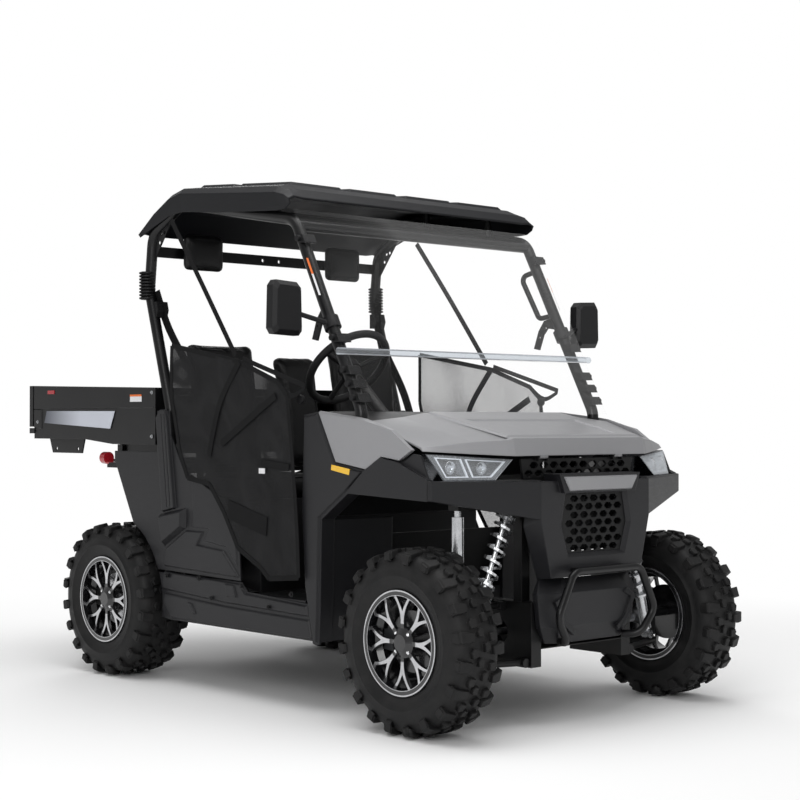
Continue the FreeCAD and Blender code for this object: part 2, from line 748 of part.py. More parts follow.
def seat_base():
    """The hollow moulded box under the seats, with a faceted cheek at each end."""
    t = PANEL
    half = FLOOR_HALF - 5
    front_x, rear_x = SEAT_FRONT, SEAT_REAR
    outer = side([(rear_x, 440), (rear_x, SEAT_TOP_Z), (front_x - 10, SEAT_TOP_Z),
                  (front_x, SEAT_TOP_Z - 60),
                  (front_x, FLOOR_Z), (front_x - 25, FLOOR_Z), (700, 440)], -half, half)
    inner = side([(rear_x + t, 300), (rear_x + t, SEAT_TOP_Z - t), (front_x - 10 - t, SEAT_TOP_Z - t),
                  (front_x - t, SEAT_TOP_Z - 60), (front_x - t, 300)], -half + t, half - t)
    cheek = raised([(790, 748), (900, 742), (903, 700), (885, 610), (800, 660)], half - 1, half + 10, 8)
    return [fused([outer.cut(inner)] + pair(cheek))]


def seats():
    """The places on the bench, as (middle, width, height of the back's top)."""
    return ((-390.0, 366.0, 1400.0), (0.0, 246.0, 1355.0), (380.0, 396.0, 1412.0))


def seat_cushions():
    """The three cushions of the bench."""
    z = SEAT_TOP_Z
    outline = [(440, z + SEAT), (440, z + 75), (560, z + 80), (840, z + 105), (895, z + 85), (900, z + SEAT)]
    return [side(outline, y - width / 2, y + width / 2) for y, width, _ in seats()]


def seat_backs():
    """The three backrests, leaning back towards the rear cross tube."""
    foot = SEAT_TOP_Z + 90
    shapes = []
    for y, width, top in seats():
        lean = BACK_X + BACK_LEAN * (top - foot)
        outline = [(BACK_X - 75, foot), (BACK_X, foot), (lean + 8, top - 40), (lean - 30, top),
                   (lean - 62, top - 30)]
        shapes.append(side(outline, y - width / 2, y + width / 2))
    return shapes


def headrests():
    """Two padded headrests on the cross bar."""
    x = REAR_POST[1][0] + 12 + 5 + SEAT
    outline = [(-85, 1684), (85, 1684), (110, 1712), (110, 1828), (85, 1856), (-85, 1856), (-110, 1828),
               (-110, 1712)]
    pad = front(outline, x, x + 62)
    return [pad.translated(V(0, y, 0)) for y in (-385, 385)]


def dash():
    """The instrument panel: a moulded shell across the cab under the windscreen."""
    t = PANEL
    outer = [(-280, 1052), (-540, 1098), (-608, 1050), (-620, 950), (-560, 800), (-535, 714)]
    inner = [(-535 + t, 716), (-560 + t, 803), (-620 + t, 952), (-608 + t, 1046), (-538, 1098 - t),
             (-280, 1052 - t)]
    shell = side(outer + inner, -CAB_HALF, CAB_HALF)
    return [shell.cut(Part.makeCylinder(COLUMN_R + SEAT, 600, STEERING_WHEEL_AT, column_axis()))]


def pedals():
    """Brake and throttle pedals hanging from the toe board."""
    shapes = []
    for y in (-380, -240):
        arm = rod((-552, y, 636), (-635, y, 500), 7)
        pad = side([(-655, 470), (-642, 462), (-615, 520), (-628, 528)], y - 32, y + 32)
        shapes.append(fused([arm, pad]))
    return shapes


# ---------------------------------------------------------------- body

def on_hood(x, lift):
    """A height above the flat middle of the hood."""
    return 1092 - 0.2143 * (x - HOOD_REAR) + lift


def hood_patch(points, lift):
    """An outline of (x, y) points laid over the flat middle of the hood."""
    return [V(x, y, on_hood(x, lift)) for x, y in points]


def hood():
    """The hood lid: a folded shell, a raised band round the sunk middle, a turned down lip and hinges."""
    t = HOOD_T
    lip = 12
    half = [(HOOD_HALF, 1062, -2, 972, 958), (480, 1076, 88, 990, 948),
            (370, on_hood(HOOD_REAR, 0), 144, 996, 942),
            (345, on_hood(HOOD_REAR, 0), 152, on_hood(152, 0), 941)]
    sections = []
    # y, rear height, front edge x, height of the front edge's top and of its foot
    for y, rear, x, top, foot in half + [(-y, *rest) for y, *rest in reversed(half)]:
        sections.append([V(HOOD_REAR, y, rear), V(x, y, top), V(x + lip, y, foot), V(x + lip - t, y, foot),
                         V(x - t, y, top - t), V(HOOD_REAR, y, rear - t)])
    outside = both_sides([(HOOD_REAR + 4, 366), (134, 366)])
    outside_top = both_sides([(HOOD_REAR + 8, 352), (124, 346)])
    sunk = both_sides([(-128, 291), (95, 258)])
    sunk_top = both_sides([(-137, 300), (104, 266)])
    band = loft([hood_patch(outside, -2), hood_patch(outside_top, 6)])
    band = band.cut(loft([hood_patch(sunk, -3), hood_patch(sunk, 0), hood_patch(sunk_top, 7)]))
    parts = [loft(sections), band]
    hinge = HOOD_HINGE
    for y in (-HOOD_HINGE_Y, HOOD_HINGE_Y):
        barrel = rod((hinge.x, y - 20, hinge.z), (hinge.x, y + 20, hinge.z), HOOD_PIN_R + 3.5)
        leaf = block(hinge.x + 2, hinge.x + 7, y - 20, y + 20, hinge.z, hinge.z + 12)
        pin = rod((hinge.x, y - 30, hinge.z), (hinge.x, y + 30, hinge.z), HOOD_PIN_R + PIN_GAP)
        parts.append(barrel.fuse(leaf).cut(pin))
    return [fused(parts)]


def hood_wings():
    """The fixed side panels of the hood, outside the front pillars, with a sloped top edge."""
    lower = [(-130, 1032), (-24, 962), (-88, 927), (-180, 938), (-260, 893), (-421, 916)]
    inner = CAGE_HALF + CAGE_R + SEAT
    sections = []
    for y, drop in ((inner, 0), (inner + 6, 0), (BODY_HALF, 7)):
        top = [(-523 + drop, 1099 - drop), (-310, 1076 - drop), (-268, 1070 - drop)]
        sections.append([V(x, y, z) for x, z in top + lower])
    return pair(loft(sections))


def cowl_panels():
    """The dark side panels behind the front wheels, with their inner flange and the wheel liner."""
    outline = [(-609, 1085), (-526, 1097), (-424, 912), (-264, 889), (-362, 806), (-509, 707), (-516, 373),
               (-522, 252), (-554, 252), (-601, 450), (-621, 737)]
    outer = BODY_HALF - SKIN_INSET
    skin = side(outline, LINER_HALF, outer)
    relief = raised([(-604, 1078), (-530, 1089), (-428, 905), (-279, 884), (-372, 812), (-519, 712),
                     (-526, 375),
                     (-531, 260), (-549, 260), (-595, 450), (-615, 737)], outer, BODY_HALF, 5)
    flange_y = BODY_HALF - 70
    flange = side([(-362, 806), (-509, 707), (-516, 373), (-522, 260), (-522 - PANEL, 260),
                   (-516 - PANEL, 373),
                   (-509 - PANEL, 711), (-362, 806 + PANEL)], flange_y, LINER_HALF)
    back = FRONT_POST + RAIL_SIZE / 2 + SEAT
    liner = side([(-509 - PANEL, 705), (-516 - PANEL, 373), (-522 - PANEL, 260), (back, 260), (back, 690)],
                 300, flange_y + PANEL)
    return pair(fused([skin, relief, flange, liner]))


def front_fenders():
    """The angular flares over the front wheels, with the dark filler beside the headlamp."""
    outline = [(-361.5, 806), (-263.5, 889), (-176, 934), (-92, 921), (59, 862), (59, 790)]
    inner = [(-367, 790), (-341, 803), (-250, 880), (-174, 920), (-96, 909), (47, 853), (47, 770)]
    outer = side(outline, 470, BUMPER_HALF)
    shell = outer.cut(side(inner, 460, BUMPER_HALF - PANEL))
    inside = BODY_HALF - 18
    shell = shell.cut(block(-87, 130, 400, inside, 800, 1000))
    filler = side([(-84, 916), (-27, 950), (10, 944), (46, 866), (30, 862)], inside, inside + PANEL)
    return pair(fused([shell, filler]))


def front_bumper():
    """The dark front moulding: two slanted wings and a middle block that frames the grille."""
    t = BUMPER_WALL
    root = 61
    face_x = BUMPER_X - t
    wing = loft([[V(root, BUMPER_HALF, 792), V(root, BUMPER_HALF, 860), V(root + t, BUMPER_HALF - 4, 858),
                  V(root + t, BUMPER_HALF - 4, 792)],
                 [V(face_x, NOSE_HALF - 2, 722), V(face_x, NOSE_HALF - 2, 853),
                  V(BUMPER_X, NOSE_HALF - 2, 853),
                  V(BUMPER_X, NOSE_HALF - 2, 722)]])
    shelf = plan([(root + 3, BODY_HALF - 19), (212, 300), (212, 270), (105, 270), (-12, BODY_HALF - 22)],
                 SHELF_Z - GAP, SHELF_Z)
    mask = [(NOSE_HALF, 853), (NOSE_HALF, 720), (238, 518)]
    cheek = [(NOSE_HALF + 4, 853), (NOSE_HALF + 26, 696), (248, 512)]
    block_face = loft([[V(x, y, z) for y, z in both_halves(outline)]
                       for x, outline in ((170, cheek), (BUMPER_X, mask))])
    hollow = loft([[V(x, y, z) for y, z in both_halves(outline)]
                   for x, outline in ((160, [(y - t, z - 8) for y, z in cheek[:2]] + [(234, 500)]),
                                      (face_x, [(y - t, z - 10) for y, z in mask[:2]] + [(222, 500)]))])
    nose = front(both_halves([(215, 878), (190, 812)]), 170, BUMPER_X + 20)
    window = both_halves([(150, 806), (172, 700), (140, 600)])
    mouth = both_halves([(164, 818), (188, 700), (152, 586)])
    opening = loft([[V(x, y, z) for y, z in outline]
                    for x, outline in ((face_x - 60, window), (face_x + 2, window),
                                       (BUMPER_X + 0.5, mouth))])
    shape = fused(pair(wing) + pair(shelf) + [block_face, nose])
    return [shape.cut(hollow).cut(opening)]


def cells(columns, rows, z, limit, x0, x1):
    """Flattened hexagons in staggered rows about a height, to be cut from a grille."""
    wide, high = CELL_W / 2 - CELL_BAR / 2, CELL_H - CELL_BAR
    hexagon = [(-wide, 0), (-wide / 2, high), (wide / 2, high), (wide, 0), (wide / 2, -high),
               (-wide / 2, -high)]
    shapes = []
    for row in range(rows):
        height = z + (row - (rows - 1) / 2) * CELL_H
        for column in range(-columns, columns + 1):
            y = column * CELL_W + CELL_W / 2 * (row % 2)
            if abs(y) < limit:
                shapes.append(front([(y + dy, height + dz / 2) for dy, dz in hexagon], x0, x1))
    return shapes


def grilles():
    """The honeycomb strip under the hood, the lower honeycomb grille and the radiator behind it."""
    back = BUMPER_X - BUMPER_WALL - SEAT
    lower = front(both_halves([(158, 814), (181, 700), (148, 592)]), back - GRILLE_T, back)
    lower = cut_away(lower, cells(3, 7, 703, 140, back - 2 * GRILLE_T, back + 1))
    hinge = HOOD_HINGE
    strip_x = 134
    strip = front([(-300, 931), (300, 931), (285, SHELF_Z + SEAT), (-285, SHELF_Z + SEAT)], strip_x,
                  strip_x + 10)
    parts = [cut_away(strip, cells(5, 2, 893, 270, strip_x - 1, strip_x + 11))]
    for y in (-HOOD_HINGE_Y, HOOD_HINGE_Y):
        for side_y in (y - 26, y + 21):
            parts.append(block(strip_x + 4, hinge.x + 4, side_y, side_y + 5, hinge.z - 14,
                               hinge.z + HOOD_PIN_R))
        parts.append(rod((hinge.x, y - 23, hinge.z), (hinge.x, y + 23, hinge.z), HOOD_PIN_R))
    post_x = FRAME_NOSE + SEAT
    radiator = block(post_x, post_x + RADIATOR_T, -RAIL_HALF + PANEL, RAIL_HALF - PANEL, 600, TOWER_Z)
    return [lower, fused(parts), radiator]


def nose_plate():
    """The bare silver plate on the nose."""
    x = BUMPER_X + 20 + SEAT
    return [loft([[V(x, y, z) for y, z in both_halves([(197, 869), (165, 818)])],
                  [V(x + PANEL, y, z) for y, z in both_halves([(190, 865), (161, 822)])]])]


def on_lamp(y, z, depth):
    """A point behind the headlamp's slanted front plane."""
    return V(142 - 0.40 * (y - LAMP_HALF + LAMP_W) - 0.45 * (z - 938) - depth, y, z)


def headlamps():
    """The slanted headlamps: a tapered body, a bright frame and two sunk reflectors."""
    end = LAMP_HALF
    outline = [(end, 950), (end - LAMP_W, 931), (end - 213, SHELF_Z + SEAT), (end - 34, SHELF_Z + SEAT)]
    body = loft([[on_lamp(y, z, 0) for y, z in outline], [on_lamp(y - 18, z, 95) for y, z in outline]])
    outer = [(end - 28, 938), (end - 116, 932), (end - 122, 870), (end - 46, 870)]
    inner = [(end - 130, 931), (end - 266, 922), (end - 202, 870), (end - 136, 870)]
    for pocket in (outer, inner):
        middle_y = sum(y for y, _ in pocket) / 4
        middle_z = sum(z for _, z in pocket) / 4
        deep = [(middle_y + (y - middle_y) * 0.55, middle_z + (z - middle_z) * 0.55) for y, z in pocket]
        body = body.cut(loft([[on_lamp(y, z, -1) for y, z in pocket], [on_lamp(y, z, 6) for y, z in pocket],
                              [on_lamp(y, z, 34) for y, z in deep]]))
    return pair(body)


def bull_bar():
    """The bent tube guard in front of the belly."""
    x = BAR_X
    route = [(x, 0, 541), (x, 178, 541), (x, 260, 386), (x - 14, 196, 296), (x - 74, 168, 292)]
    left = bent_tube(route, BAR_R, 52)
    stay = rod((BUMPER_X + SEAT, 130, 541), (x, 130, 541), 9)
    return [fused([left, stay, mirrored(left), mirrored(stay)])]


def bash_plate():
    """The faceted guard below the bumper, with a chevron rib on each side."""
    back = 163
    # z, x of the corner and of the face, half width at the back and of the face
    table = ((512, 170, 196, 235, 150), (462, 186, 224, 262, 182), (345, 184, 220, 246, 188),
             (284, 168, 192, 206, 166))
    outer = []
    inner = []
    for z, corner, face_x, half, face_half in table:
        outer.append([V(back, -half, z), V(corner, -half, z), V(face_x, -face_half, z),
                      V(face_x, face_half, z),
                      V(corner, half, z), V(back, half, z)])
        t = PANEL
        inner.append([V(back - t, -half + t, z), V(corner - t, -half + t, z),
                      V(face_x - t, -face_half + 3, z),
                      V(face_x - t, face_half - 3, z), V(corner - t, half - t, z), V(back - t, half - t, z)])
    for n, dz in ((0, 5), (-1, -5)):
        inner[n] = [p + V(0, 0, dz) for p in inner[n]]
    chevron = front([(150, 448), (166, 462), (214, 432), (172, 352), (120, 312), (112, 328), (154, 360),
                     (190, 428)],
                    212, 229)
    return [fused([loft(outer).cut(loft(inner))] + pair(chevron))]


def sill_end(z):
    """X of the sill's front end, along the cowl panel's slanted edge."""
    return WHEELBASE - 558 - 0.237 * (z - 252)


def rocker_panels():
    """The sills below the doorways, with stepped seams and the tread that meets the floor."""
    arch = arch_points(TYRE_R + 32.5, 22, -8, 3)
    outer = BODY_HALF - SHEET
    skin = outer - SKIN_INSET
    outline = arch + [(400, 262), (sill_end(262), 262), (sill_end(395), 395), (914, 412), (881, 446)]
    parts = [side(outline, LINER_HALF, skin)]
    lower = [(412, 268), (sill_end(268) - 5, 268), (sill_end(337) - 5, 337), (770, 348), (370, 369),
             (358, 330)]
    upper = [(352, 382), (770, 359), (sill_end(348) - 5, 348), (sill_end(389) - 5, 389), (910, 406),
             (873, 440),
             (366, 456), (356, 420)]
    parts.append(raised(lower, skin, outer - 2, 6))
    parts.append(raised(upper, skin, outer, 6))
    parts.append(raised([(782, 436), (842, 434), (862, 384), (796, 384)], skin, outer + 6, 4))
    parts.append(raised([(528, 344), (560, 344), (596, 298), (566, 298)], skin, outer + 3, 4))
    parts.append(block(925, sill_end(FLOOR_Z) - 15, FLOOR_HALF + SEAT, LINER_HALF + 1, FLOOR_Z - PANEL,
                       FLOOR_Z))
    return pair(fused(parts))


def rear_side_panels():
    """The panels from the rear posts down round the seat box, with a fluted fin and a faceted hip."""
    arch = arch_points(TYRE_R + 34.5, 66, 24, 5)
    low_edge = BED_FRONT + PANEL
    outline = [(low_edge, 1105), (400, 1105), (412, 1000), (500, 868), (780, 758), (868, 592), (878, 450)]
    outline += list(reversed(arch)) + [(0, 900), (0, 938), (low_edge, 938)]
    inner = LINER_HALF
    outer = BODY_HALF - SKIN_INSET
    parts = [side(outline, inner, outer)]
    fin = [(318, 1078), (346, 1112), (384, 1112), (400, 1075), (452, 712), (362, 694)]
    parts.append(raised(fin, outer, BODY_HALF + 6, 5))
    hip = [(338, 684), (520, 716), (517, 635), (371, 556)]
    parts.append(raised(hip, outer, BODY_HALF + 16, 14))
    flank = [(378, 548), (524, 628), (640, 628), (600, 575), (768, 562), (868, 470), (866, 462), (372, 476)]
    parts.append(raised(flank, outer, BODY_HALF - 1, 5))
    sill = [(560, 850), (768, 762), (852, 600), (862, 500), (790, 574), (640, 590), (672, 640), (560, 640)]
    parts.append(raised(sill, outer, BODY_HALF - 4, 5))
    shape = fused(parts)
    for dx in (24, 46):
        flute = side([(334 + dx, 1092), (339 + dx, 1092), (384 + dx, 716), (378 + dx, 716)], BODY_HALF + 2,
                     BODY_HALF + 8)
        shape = shape.cut(flute)
    return pair(shape)


def rear_fenders():
    """The liners that close the rear wheel arches from above."""
    return pair(block(-60, 330, DECK_HALF + RAIL_SIZE / 2 + SEAT, LINER_HALF, 880, 880 + PANEL))


# ---------------------------------------------------------------- roof and glass

def roof():
    """The moulded roof shell with its turned down edges and two rows of raised pads."""
    t = PANEL
    (peak_x, peak_z), (middle_x, middle_z), (nose_x, nose_z) = ROOF_CROWN
    # x, height of the crown, of the shoulder and of the lip's foot
    stations = ((190, 1838, 1834, 1822), (300, 1932, 1908, 1862), (400, 1986, 1958, 1894),
                (peak_x, peak_z, 1974, 1902), (middle_x, middle_z, 1950, 1876), (nose_x, nose_z, 1918, 1850),
                (nose_x + 55, 1930, 1904, 1852), (nose_x + 85, 1896, 1888, 1868))
    outer = []
    inner = []
    edge = ROOF_HALF
    for x, crown, shoulder, foot in stations:
        half = [(edge - 10, foot), (edge, shoulder), (edge - 25, (crown + shoulder) / 2 + 8),
                (edge - 75, crown)]
        outer.append([V(x, y, z) for y, z in both_halves(half)])
        inside = [(edge - 10 - t, foot - 40), (edge - t, shoulder - t / 2),
                  (edge - 25 - t, (crown + shoulder) / 2),
                  (edge - 75, crown - t)]
        inner.append([V(x, y, z) for y, z in both_halves(inside)])
    parts = [loft(outer).cut(loft(inner))]
    # x at both ends of each row of pads
    for x0, x1 in ((peak_x + 16, middle_x - 18), (middle_x + 16, nose_x - 14)):
        for left, right in ((-574, -310), (-280, -20), (20, 280), (310, 574)):
            foot = [(x0, left), (x0, right), (x1, right), (x1, left)]
            top = [(x0 + 12, left + 12), (x0 + 12, right - 12), (x1 - 12, right - 12), (x1 - 12, left + 12)]
            slope = (roof_crown(x1) - roof_crown(x0)) / (x1 - x0)
            parts.append(loft([[V(x, y, roof_crown(x0) + slope * (x - x0) + lift) for x, y in outline]
                               for outline, lift in ((foot, -2), (top, 13))]))
    return [fused(parts)]


def on_screen(height, offset):
    """X on the windscreen's plane at a height."""
    return on_pillar(height) + offset


def screen_pane(low, high):
    """A flat pane of the windscreen between two heights."""
    near, far = SCREEN_OFFSET, SCREEN_OFFSET + SCREEN_T
    outline = [(on_screen(low, near), low), (on_screen(high, near), high), (on_screen(high, far), high),
               (on_screen(low, far), low)]
    return side(outline, -SCREEN_HALF, SCREEN_HALF)


def windscreen():
    """The clear screen in two panes, which meet at the fold rail."""
    clear = FOLD_R + 1
    return [screen_pane(1090, FOLD_Z - clear), screen_pane(FOLD_Z + clear, 1846)]


def fold_rail():
    """The rail across the screen's fold."""
    x = on_screen(FOLD_Z, SCREEN_OFFSET) + SCREEN_T / 2
    return [rod((x, -SCREEN_HALF - 20, FOLD_Z), (x, SCREEN_HALF + 20, FOLD_Z), FOLD_R)]


def screen_clamps():
    """Clamps with hand knobs between the pillars and the screen, and the hooks that hold it when folded."""
    shapes = []
    for z in (1145, 1195, 1245, 1362, 1735):
        low, high = z - 16, z + 16
        near, far = 4, SCREEN_OFFSET - SEAT
        outline = [(on_pillar(low) + near, low), (on_pillar(low) + far, low), (on_pillar(high) + far, high),
                   (on_pillar(high) + near, high)]
        body = side(outline, CAGE_HALF - 28, CAGE_HALF + 30)
        knob = rod((on_pillar(z) + 20, CAGE_HALF + 29, z), (on_pillar(z) + 20, CAGE_HALF + 46, z), 11)
        shapes += pair(fused([body, knob]).cut(pillar_bar(z - 100, z + 100, CAGE_R + SEAT)))
    y = CAGE_HALF - CAGE_R
    hook = side([(on_pillar(1480) - 6, 1486), (on_pillar(1450) - 60, 1478), (-600, 1436), (-626, 1364),
                 (-596, 1358),
                 (-572, 1420), (on_pillar(1450) - 40, 1446), (on_pillar(1436) - 6, 1440)], y - SHEET,
                y + SHEET)
    hook = cut_away(hook, [rod((x, y - 10, z), (x, y + 10, z), 5) for x, z in ((-594, 1410), (-560, 1448))])
    return shapes + pair(hook.cut(pillar_bar(1300, 1600, CAGE_R + SEAT)))


def mirrors():
    """Rear view mirrors: a rounded shell on an arm that is clamped to the pillar."""
    x = -532
    arm = rod((on_pillar(1416) + 4, CAGE_HALF + CAGE_R - 3, 1416), (x, CAGE_HALF + 140, 1452), 9)
    clamp = pillar_bar(1396, 1436, CAGE_R + 9)
    outline = [(738, 1385), (752, 1368), (862, 1372), (876, 1392), (872, 1545), (856, 1565), (762, 1560),
               (742, 1540)]
    sections = []
    for dx, size in ((-28, 0.9), (-20, 1.0), (12, 1.0), (28, 0.82)):
        sections.append([V(x + dx, 807 + (y - 807) * size, 1466 + (z - 1466) * size) for y, z in outline])
    shell = loft(sections).translated(V(0, CAGE_HALF - 622, 0))
    return pair(fused([arm, clamp, shell]).cut(pillar_bar(1300, 1500, CAGE_R)))


def grab_handle():
    """The bent grab handle on the left front pillar."""
    y = CAGE_HALF
    points = [(on_pillar(1690) - 2, y, 1690), (on_pillar(1690) - 90, y, 1670),
              (on_pillar(1500) - 84, y, 1490),
              (on_pillar(1500) - 2, y, 1500)]
    return [bent_tube(points, 11, 24).cut(pillar_bar(1300, 1800, CAGE_R + SEAT))]


def side_nets():
    """The fabric side nets that close the doorways, with the strap that holds each."""
    lead = WHEELBASE - 598
    net = [(400, 1350), (890, 1310), (lead, 1190), (lead - 10, 480), (lead - 212, 475), (920, 600),
           (800, 770),
           (510, 880), (425, 1000)]
    y = BODY_HALF + 18
    sheet = side(net, y, y + 3)
    strap = side([(430, 1880), (455, 1880), (895, 1312), (870, 1312)], y, y + 3)
    return pair(fused([sheet, strap]))


# ---------------------------------------------------------------- bed

def bed():
    """The cargo bed: walls, a ribbed floor, tie-down brackets and the rails it tips on."""
    rear = -REAR_OVERHANG + TAILGATE_T + GAP
    y = BODY_HALF
    front_top = BED_TOP - 22
    hinge = BED_HINGE
    wall = [(rear, BED_TOP), (BED_FRONT, front_top), (BED_FRONT, 966), (-13, 966), (rear, 1022)]
    right = [side(wall, y - BED_WALL, y - SHEET)]
    right.append(raised([(rear, BED_TOP), (BED_FRONT, front_top), (BED_FRONT, 1116), (rear, 1116)],
                        y - SHEET, y, 3))
    right.append(raised([(rear, 1116), (-588, 1116), (-588, 1028), (rear, 1034)], y - SHEET, y, 3))
    right.append(block(rear, BED_FRONT, y - BED_WALL - PANEL, y - BED_WALL, front_top - 14, front_top))
    rail_half = BED_RAIL_W / 2
    rail_low = hinge.z - 14
    rail = side([(hinge.x - 22, BED_FLOOR + 2), (hinge.x - 22, hinge.z + 6), (hinge.x - 8, rail_low),
                 (280, rail_low),
                 (280, BED_FLOOR + 2)], BED_RAIL_Y - rail_half, BED_RAIL_Y + rail_half)
    right.append(rail.cut(rod((hinge.x, 100, hinge.z), (hinge.x, 400, hinge.z), BED_PIN_R + SEAT)))
    bracket = side([(-612, BED_FLOOR + 2), (-318, BED_FLOOR + 2), (-340, 922), (-585, 922)], y - 64, y - 58)
    right.append(cut_away(bracket, [rod((x, y - 70, 941), (x, y - 50, 941), 8) for x in (-552, -374)]))
    ear_z = TAILGATE_Z
    pin_x = -REAR_OVERHANG + TAILGATE_BARREL_R
    right.append(block(-REAR_OVERHANG, rear + 5, y - TAILGATE_EAR + SHEET, y, ear_z - 12, ear_z + 12))
    right.append(rod((pin_x, y - 52, ear_z), (pin_x, y - 25, ear_z), TAILGATE_PIN_R))
    parts = [block(BED_FRONT - BED_WALL, BED_FRONT, -y + SHEET, y - SHEET, 970, front_top),
             block(rear, BED_FRONT, -y + SHEET, y - SHEET, BED_FLOOR, BED_FLOOR + BED_FLOOR_T)]
    count = int((y - BED_WALL - BED_RIB) / BED_RIB_PITCH)
    for n in range(-count, count + 1):
        centre = n * BED_RIB_PITCH
        parts.append(block(rear + 30, BED_FRONT - BED_WALL, centre - BED_RIB / 2, centre + BED_RIB / 2,
                           BED_FLOOR + 30, BED_FLOOR + BED_FLOOR_T + PANEL))
    for piece in right:
        parts += pair(piece)
    return [fused(parts)]


def tailgate():
    """The drop-down tailgate with its top rail and pressed panel, notched round the ears of the bed."""
    x = -REAR_OVERHANG
    inside = BODY_HALF - TAILGATE_EAR
    z = TAILGATE_Z
    pin_x = x + TAILGATE_BARREL_R
    panel = block(x, x + TAILGATE_T, -BODY_HALF, BODY_HALF, z + 2, BED_TOP)
    barrel = rod((pin_x, -inside, z), (pin_x, inside, z), TAILGATE_BARREL_R)
    shape = fused([panel, barrel])
    pressing = loft([[V(x - 1, y, h) for y, h in ((-590, 1052), (590, 1052), (590, 1176), (-590, 1176))],
                     [V(x + 7, y, h) for y, h in ((-580, 1060), (580, 1060), (580, 1168), (-580, 1168))]])
    shape = shape.cut(pressing)
    for notch in pair(block(x - 1, x + TAILGATE_T + 1, inside - 2, BODY_HALF + 1, z - 20, z + 18)):
        shape = shape.cut(notch)
    return [shape.cut(rod((pin_x, -inside - 40, z), (pin_x, inside + 40, z), TAILGATE_PIN_R + SEAT))]


def tail_lamps():
    """The red tail lamps on their brackets under the bed."""
    y = BODY_HALF - 62
    lamp = rod((-130, y, 905), (-165, y, 905), 26)
    bracket = block(-135, -60, y - 15, y + 15, 880, 888)
    return pair(fused([lamp, bracket]))


def hitch():
    """The receiver at the tail, with its bore."""
    half, hollow_half = HITCH_HALF, HITCH_HALF - HITCH_WALL
    z = RAIL_Z
    tube = block(-420, -260, -half, half, z - half, z + half)
    hollow = block(-430, -270, -hollow_half, hollow_half, z - hollow_half, z + hollow_half)
    pin = rod((HITCH_PIN_X, -half - PANEL, z), (HITCH_PIN_X, half + PANEL, z), HITCH_PIN_R)
    return [tube.cut(hollow).cut(pin)]


# ---------------------------------------------------------------- export

os.makedirs("parts", exist_ok=True)
# wheel, its half track and tyre width, and where its axle is
for name, track, width, origin in (("front", FRONT_HALF_TRACK, FRONT_TYRE_W, WHEELBASE),
                                   ("rear", REAR_HALF_TRACK, REAR_TYRE_W, 0.0)):
    centre = V(0, track, AXLE_Z)
    left_tyre = tyre(centre, width)
    left_rim = rim(centre, width, 1)
    export("tyre_" + name + "_left", left_tyre, origin)
    export("rim_" + name + "_left", left_rim, origin)
    export("tyre_" + name + "_right", [mirrored(shape) for shape in left_tyre], origin)
    export("rim_" + name + "_right", [mirrored(shape) for shape in left_rim], origin)
export("knuckle_left", knuckle(1), WHEELBASE)
export("knuckle_right", knuckle(-1), WHEELBASE)
for make in (main_frame, roll_cage, rear_arms, shocks, half_shafts, engine, cab_floor, skid_plate,
             seat_base, seat_cushions, seat_backs, headrests, rocker_panels, rear_side_panels, rear_fenders,
             roof, side_nets, bed, tailgate, tail_lamps, hitch):
    export(make.__name__, make(), 0.0)
for make in (front_arms, front_diff, steering_wheel, steering_column, tie_rods,
             steering_rack, dash, pedals, hood, hood_wings, cowl_panels, front_fenders, front_bumper,
             grilles,
             nose_plate, headlamps, bull_bar, bash_plate, windscreen, fold_rail, screen_clamps, mirrors,
             grab_handle):
    export(make.__name__, make(), WHEELBASE)
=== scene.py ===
import math

import bmesh
import bpy
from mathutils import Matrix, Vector


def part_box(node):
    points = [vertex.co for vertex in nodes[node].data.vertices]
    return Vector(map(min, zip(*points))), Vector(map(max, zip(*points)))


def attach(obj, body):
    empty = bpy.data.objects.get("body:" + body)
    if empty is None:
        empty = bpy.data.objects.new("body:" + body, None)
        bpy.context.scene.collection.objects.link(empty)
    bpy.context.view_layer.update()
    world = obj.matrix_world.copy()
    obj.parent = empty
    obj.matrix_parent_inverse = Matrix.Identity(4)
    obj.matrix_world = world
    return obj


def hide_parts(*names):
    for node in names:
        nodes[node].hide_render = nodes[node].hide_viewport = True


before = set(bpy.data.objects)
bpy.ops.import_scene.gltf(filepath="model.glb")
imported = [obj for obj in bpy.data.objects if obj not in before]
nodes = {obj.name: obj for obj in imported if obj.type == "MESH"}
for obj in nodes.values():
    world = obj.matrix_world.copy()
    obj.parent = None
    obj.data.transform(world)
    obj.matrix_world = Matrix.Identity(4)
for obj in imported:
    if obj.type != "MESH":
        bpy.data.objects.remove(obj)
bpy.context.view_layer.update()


# ---- Studio -------------------------------------------------------------------------------------
# A seamless pale floor that runs off to white, with large soft boxes overhead, at the vehicle's right
# front and behind it. The camera stands low at the right front corner.

def linear(hex_colour):
    """A linear RGBA colour from an sRGB hex value."""
    channels = [int(hex_colour[i:i + 2], 16) / 255 for i in (1, 3, 5)]
    return [c / 12.92 if c <= 0.04045 else ((c + 0.055) / 1.055) ** 2.4 for c in channels] + [1.0]


def add(tree, kind, inputs=(), **settings):
    """Adds a shader node. An input is a value, or an output socket that it is linked to."""
    node = tree.nodes.new(kind)
    for name, value in settings.items():
        setattr(node, name, value)
    for key, value in dict(inputs).items():
        if isinstance(value, bpy.types.NodeSocket):
            tree.links.new(value, node.inputs[key])
        else:
            node.inputs[key].default_value = value
    return node


def new_material(name):
    """An empty node material, as (material, tree)."""
    material = bpy.data.materials.new(name)
    material.use_nodes = True
    material.node_tree.nodes.clear()
    return material, material.node_tree


# fibres in a metre of paper, drawn coarser than real ones so that they show
paper_fibres = 900.0


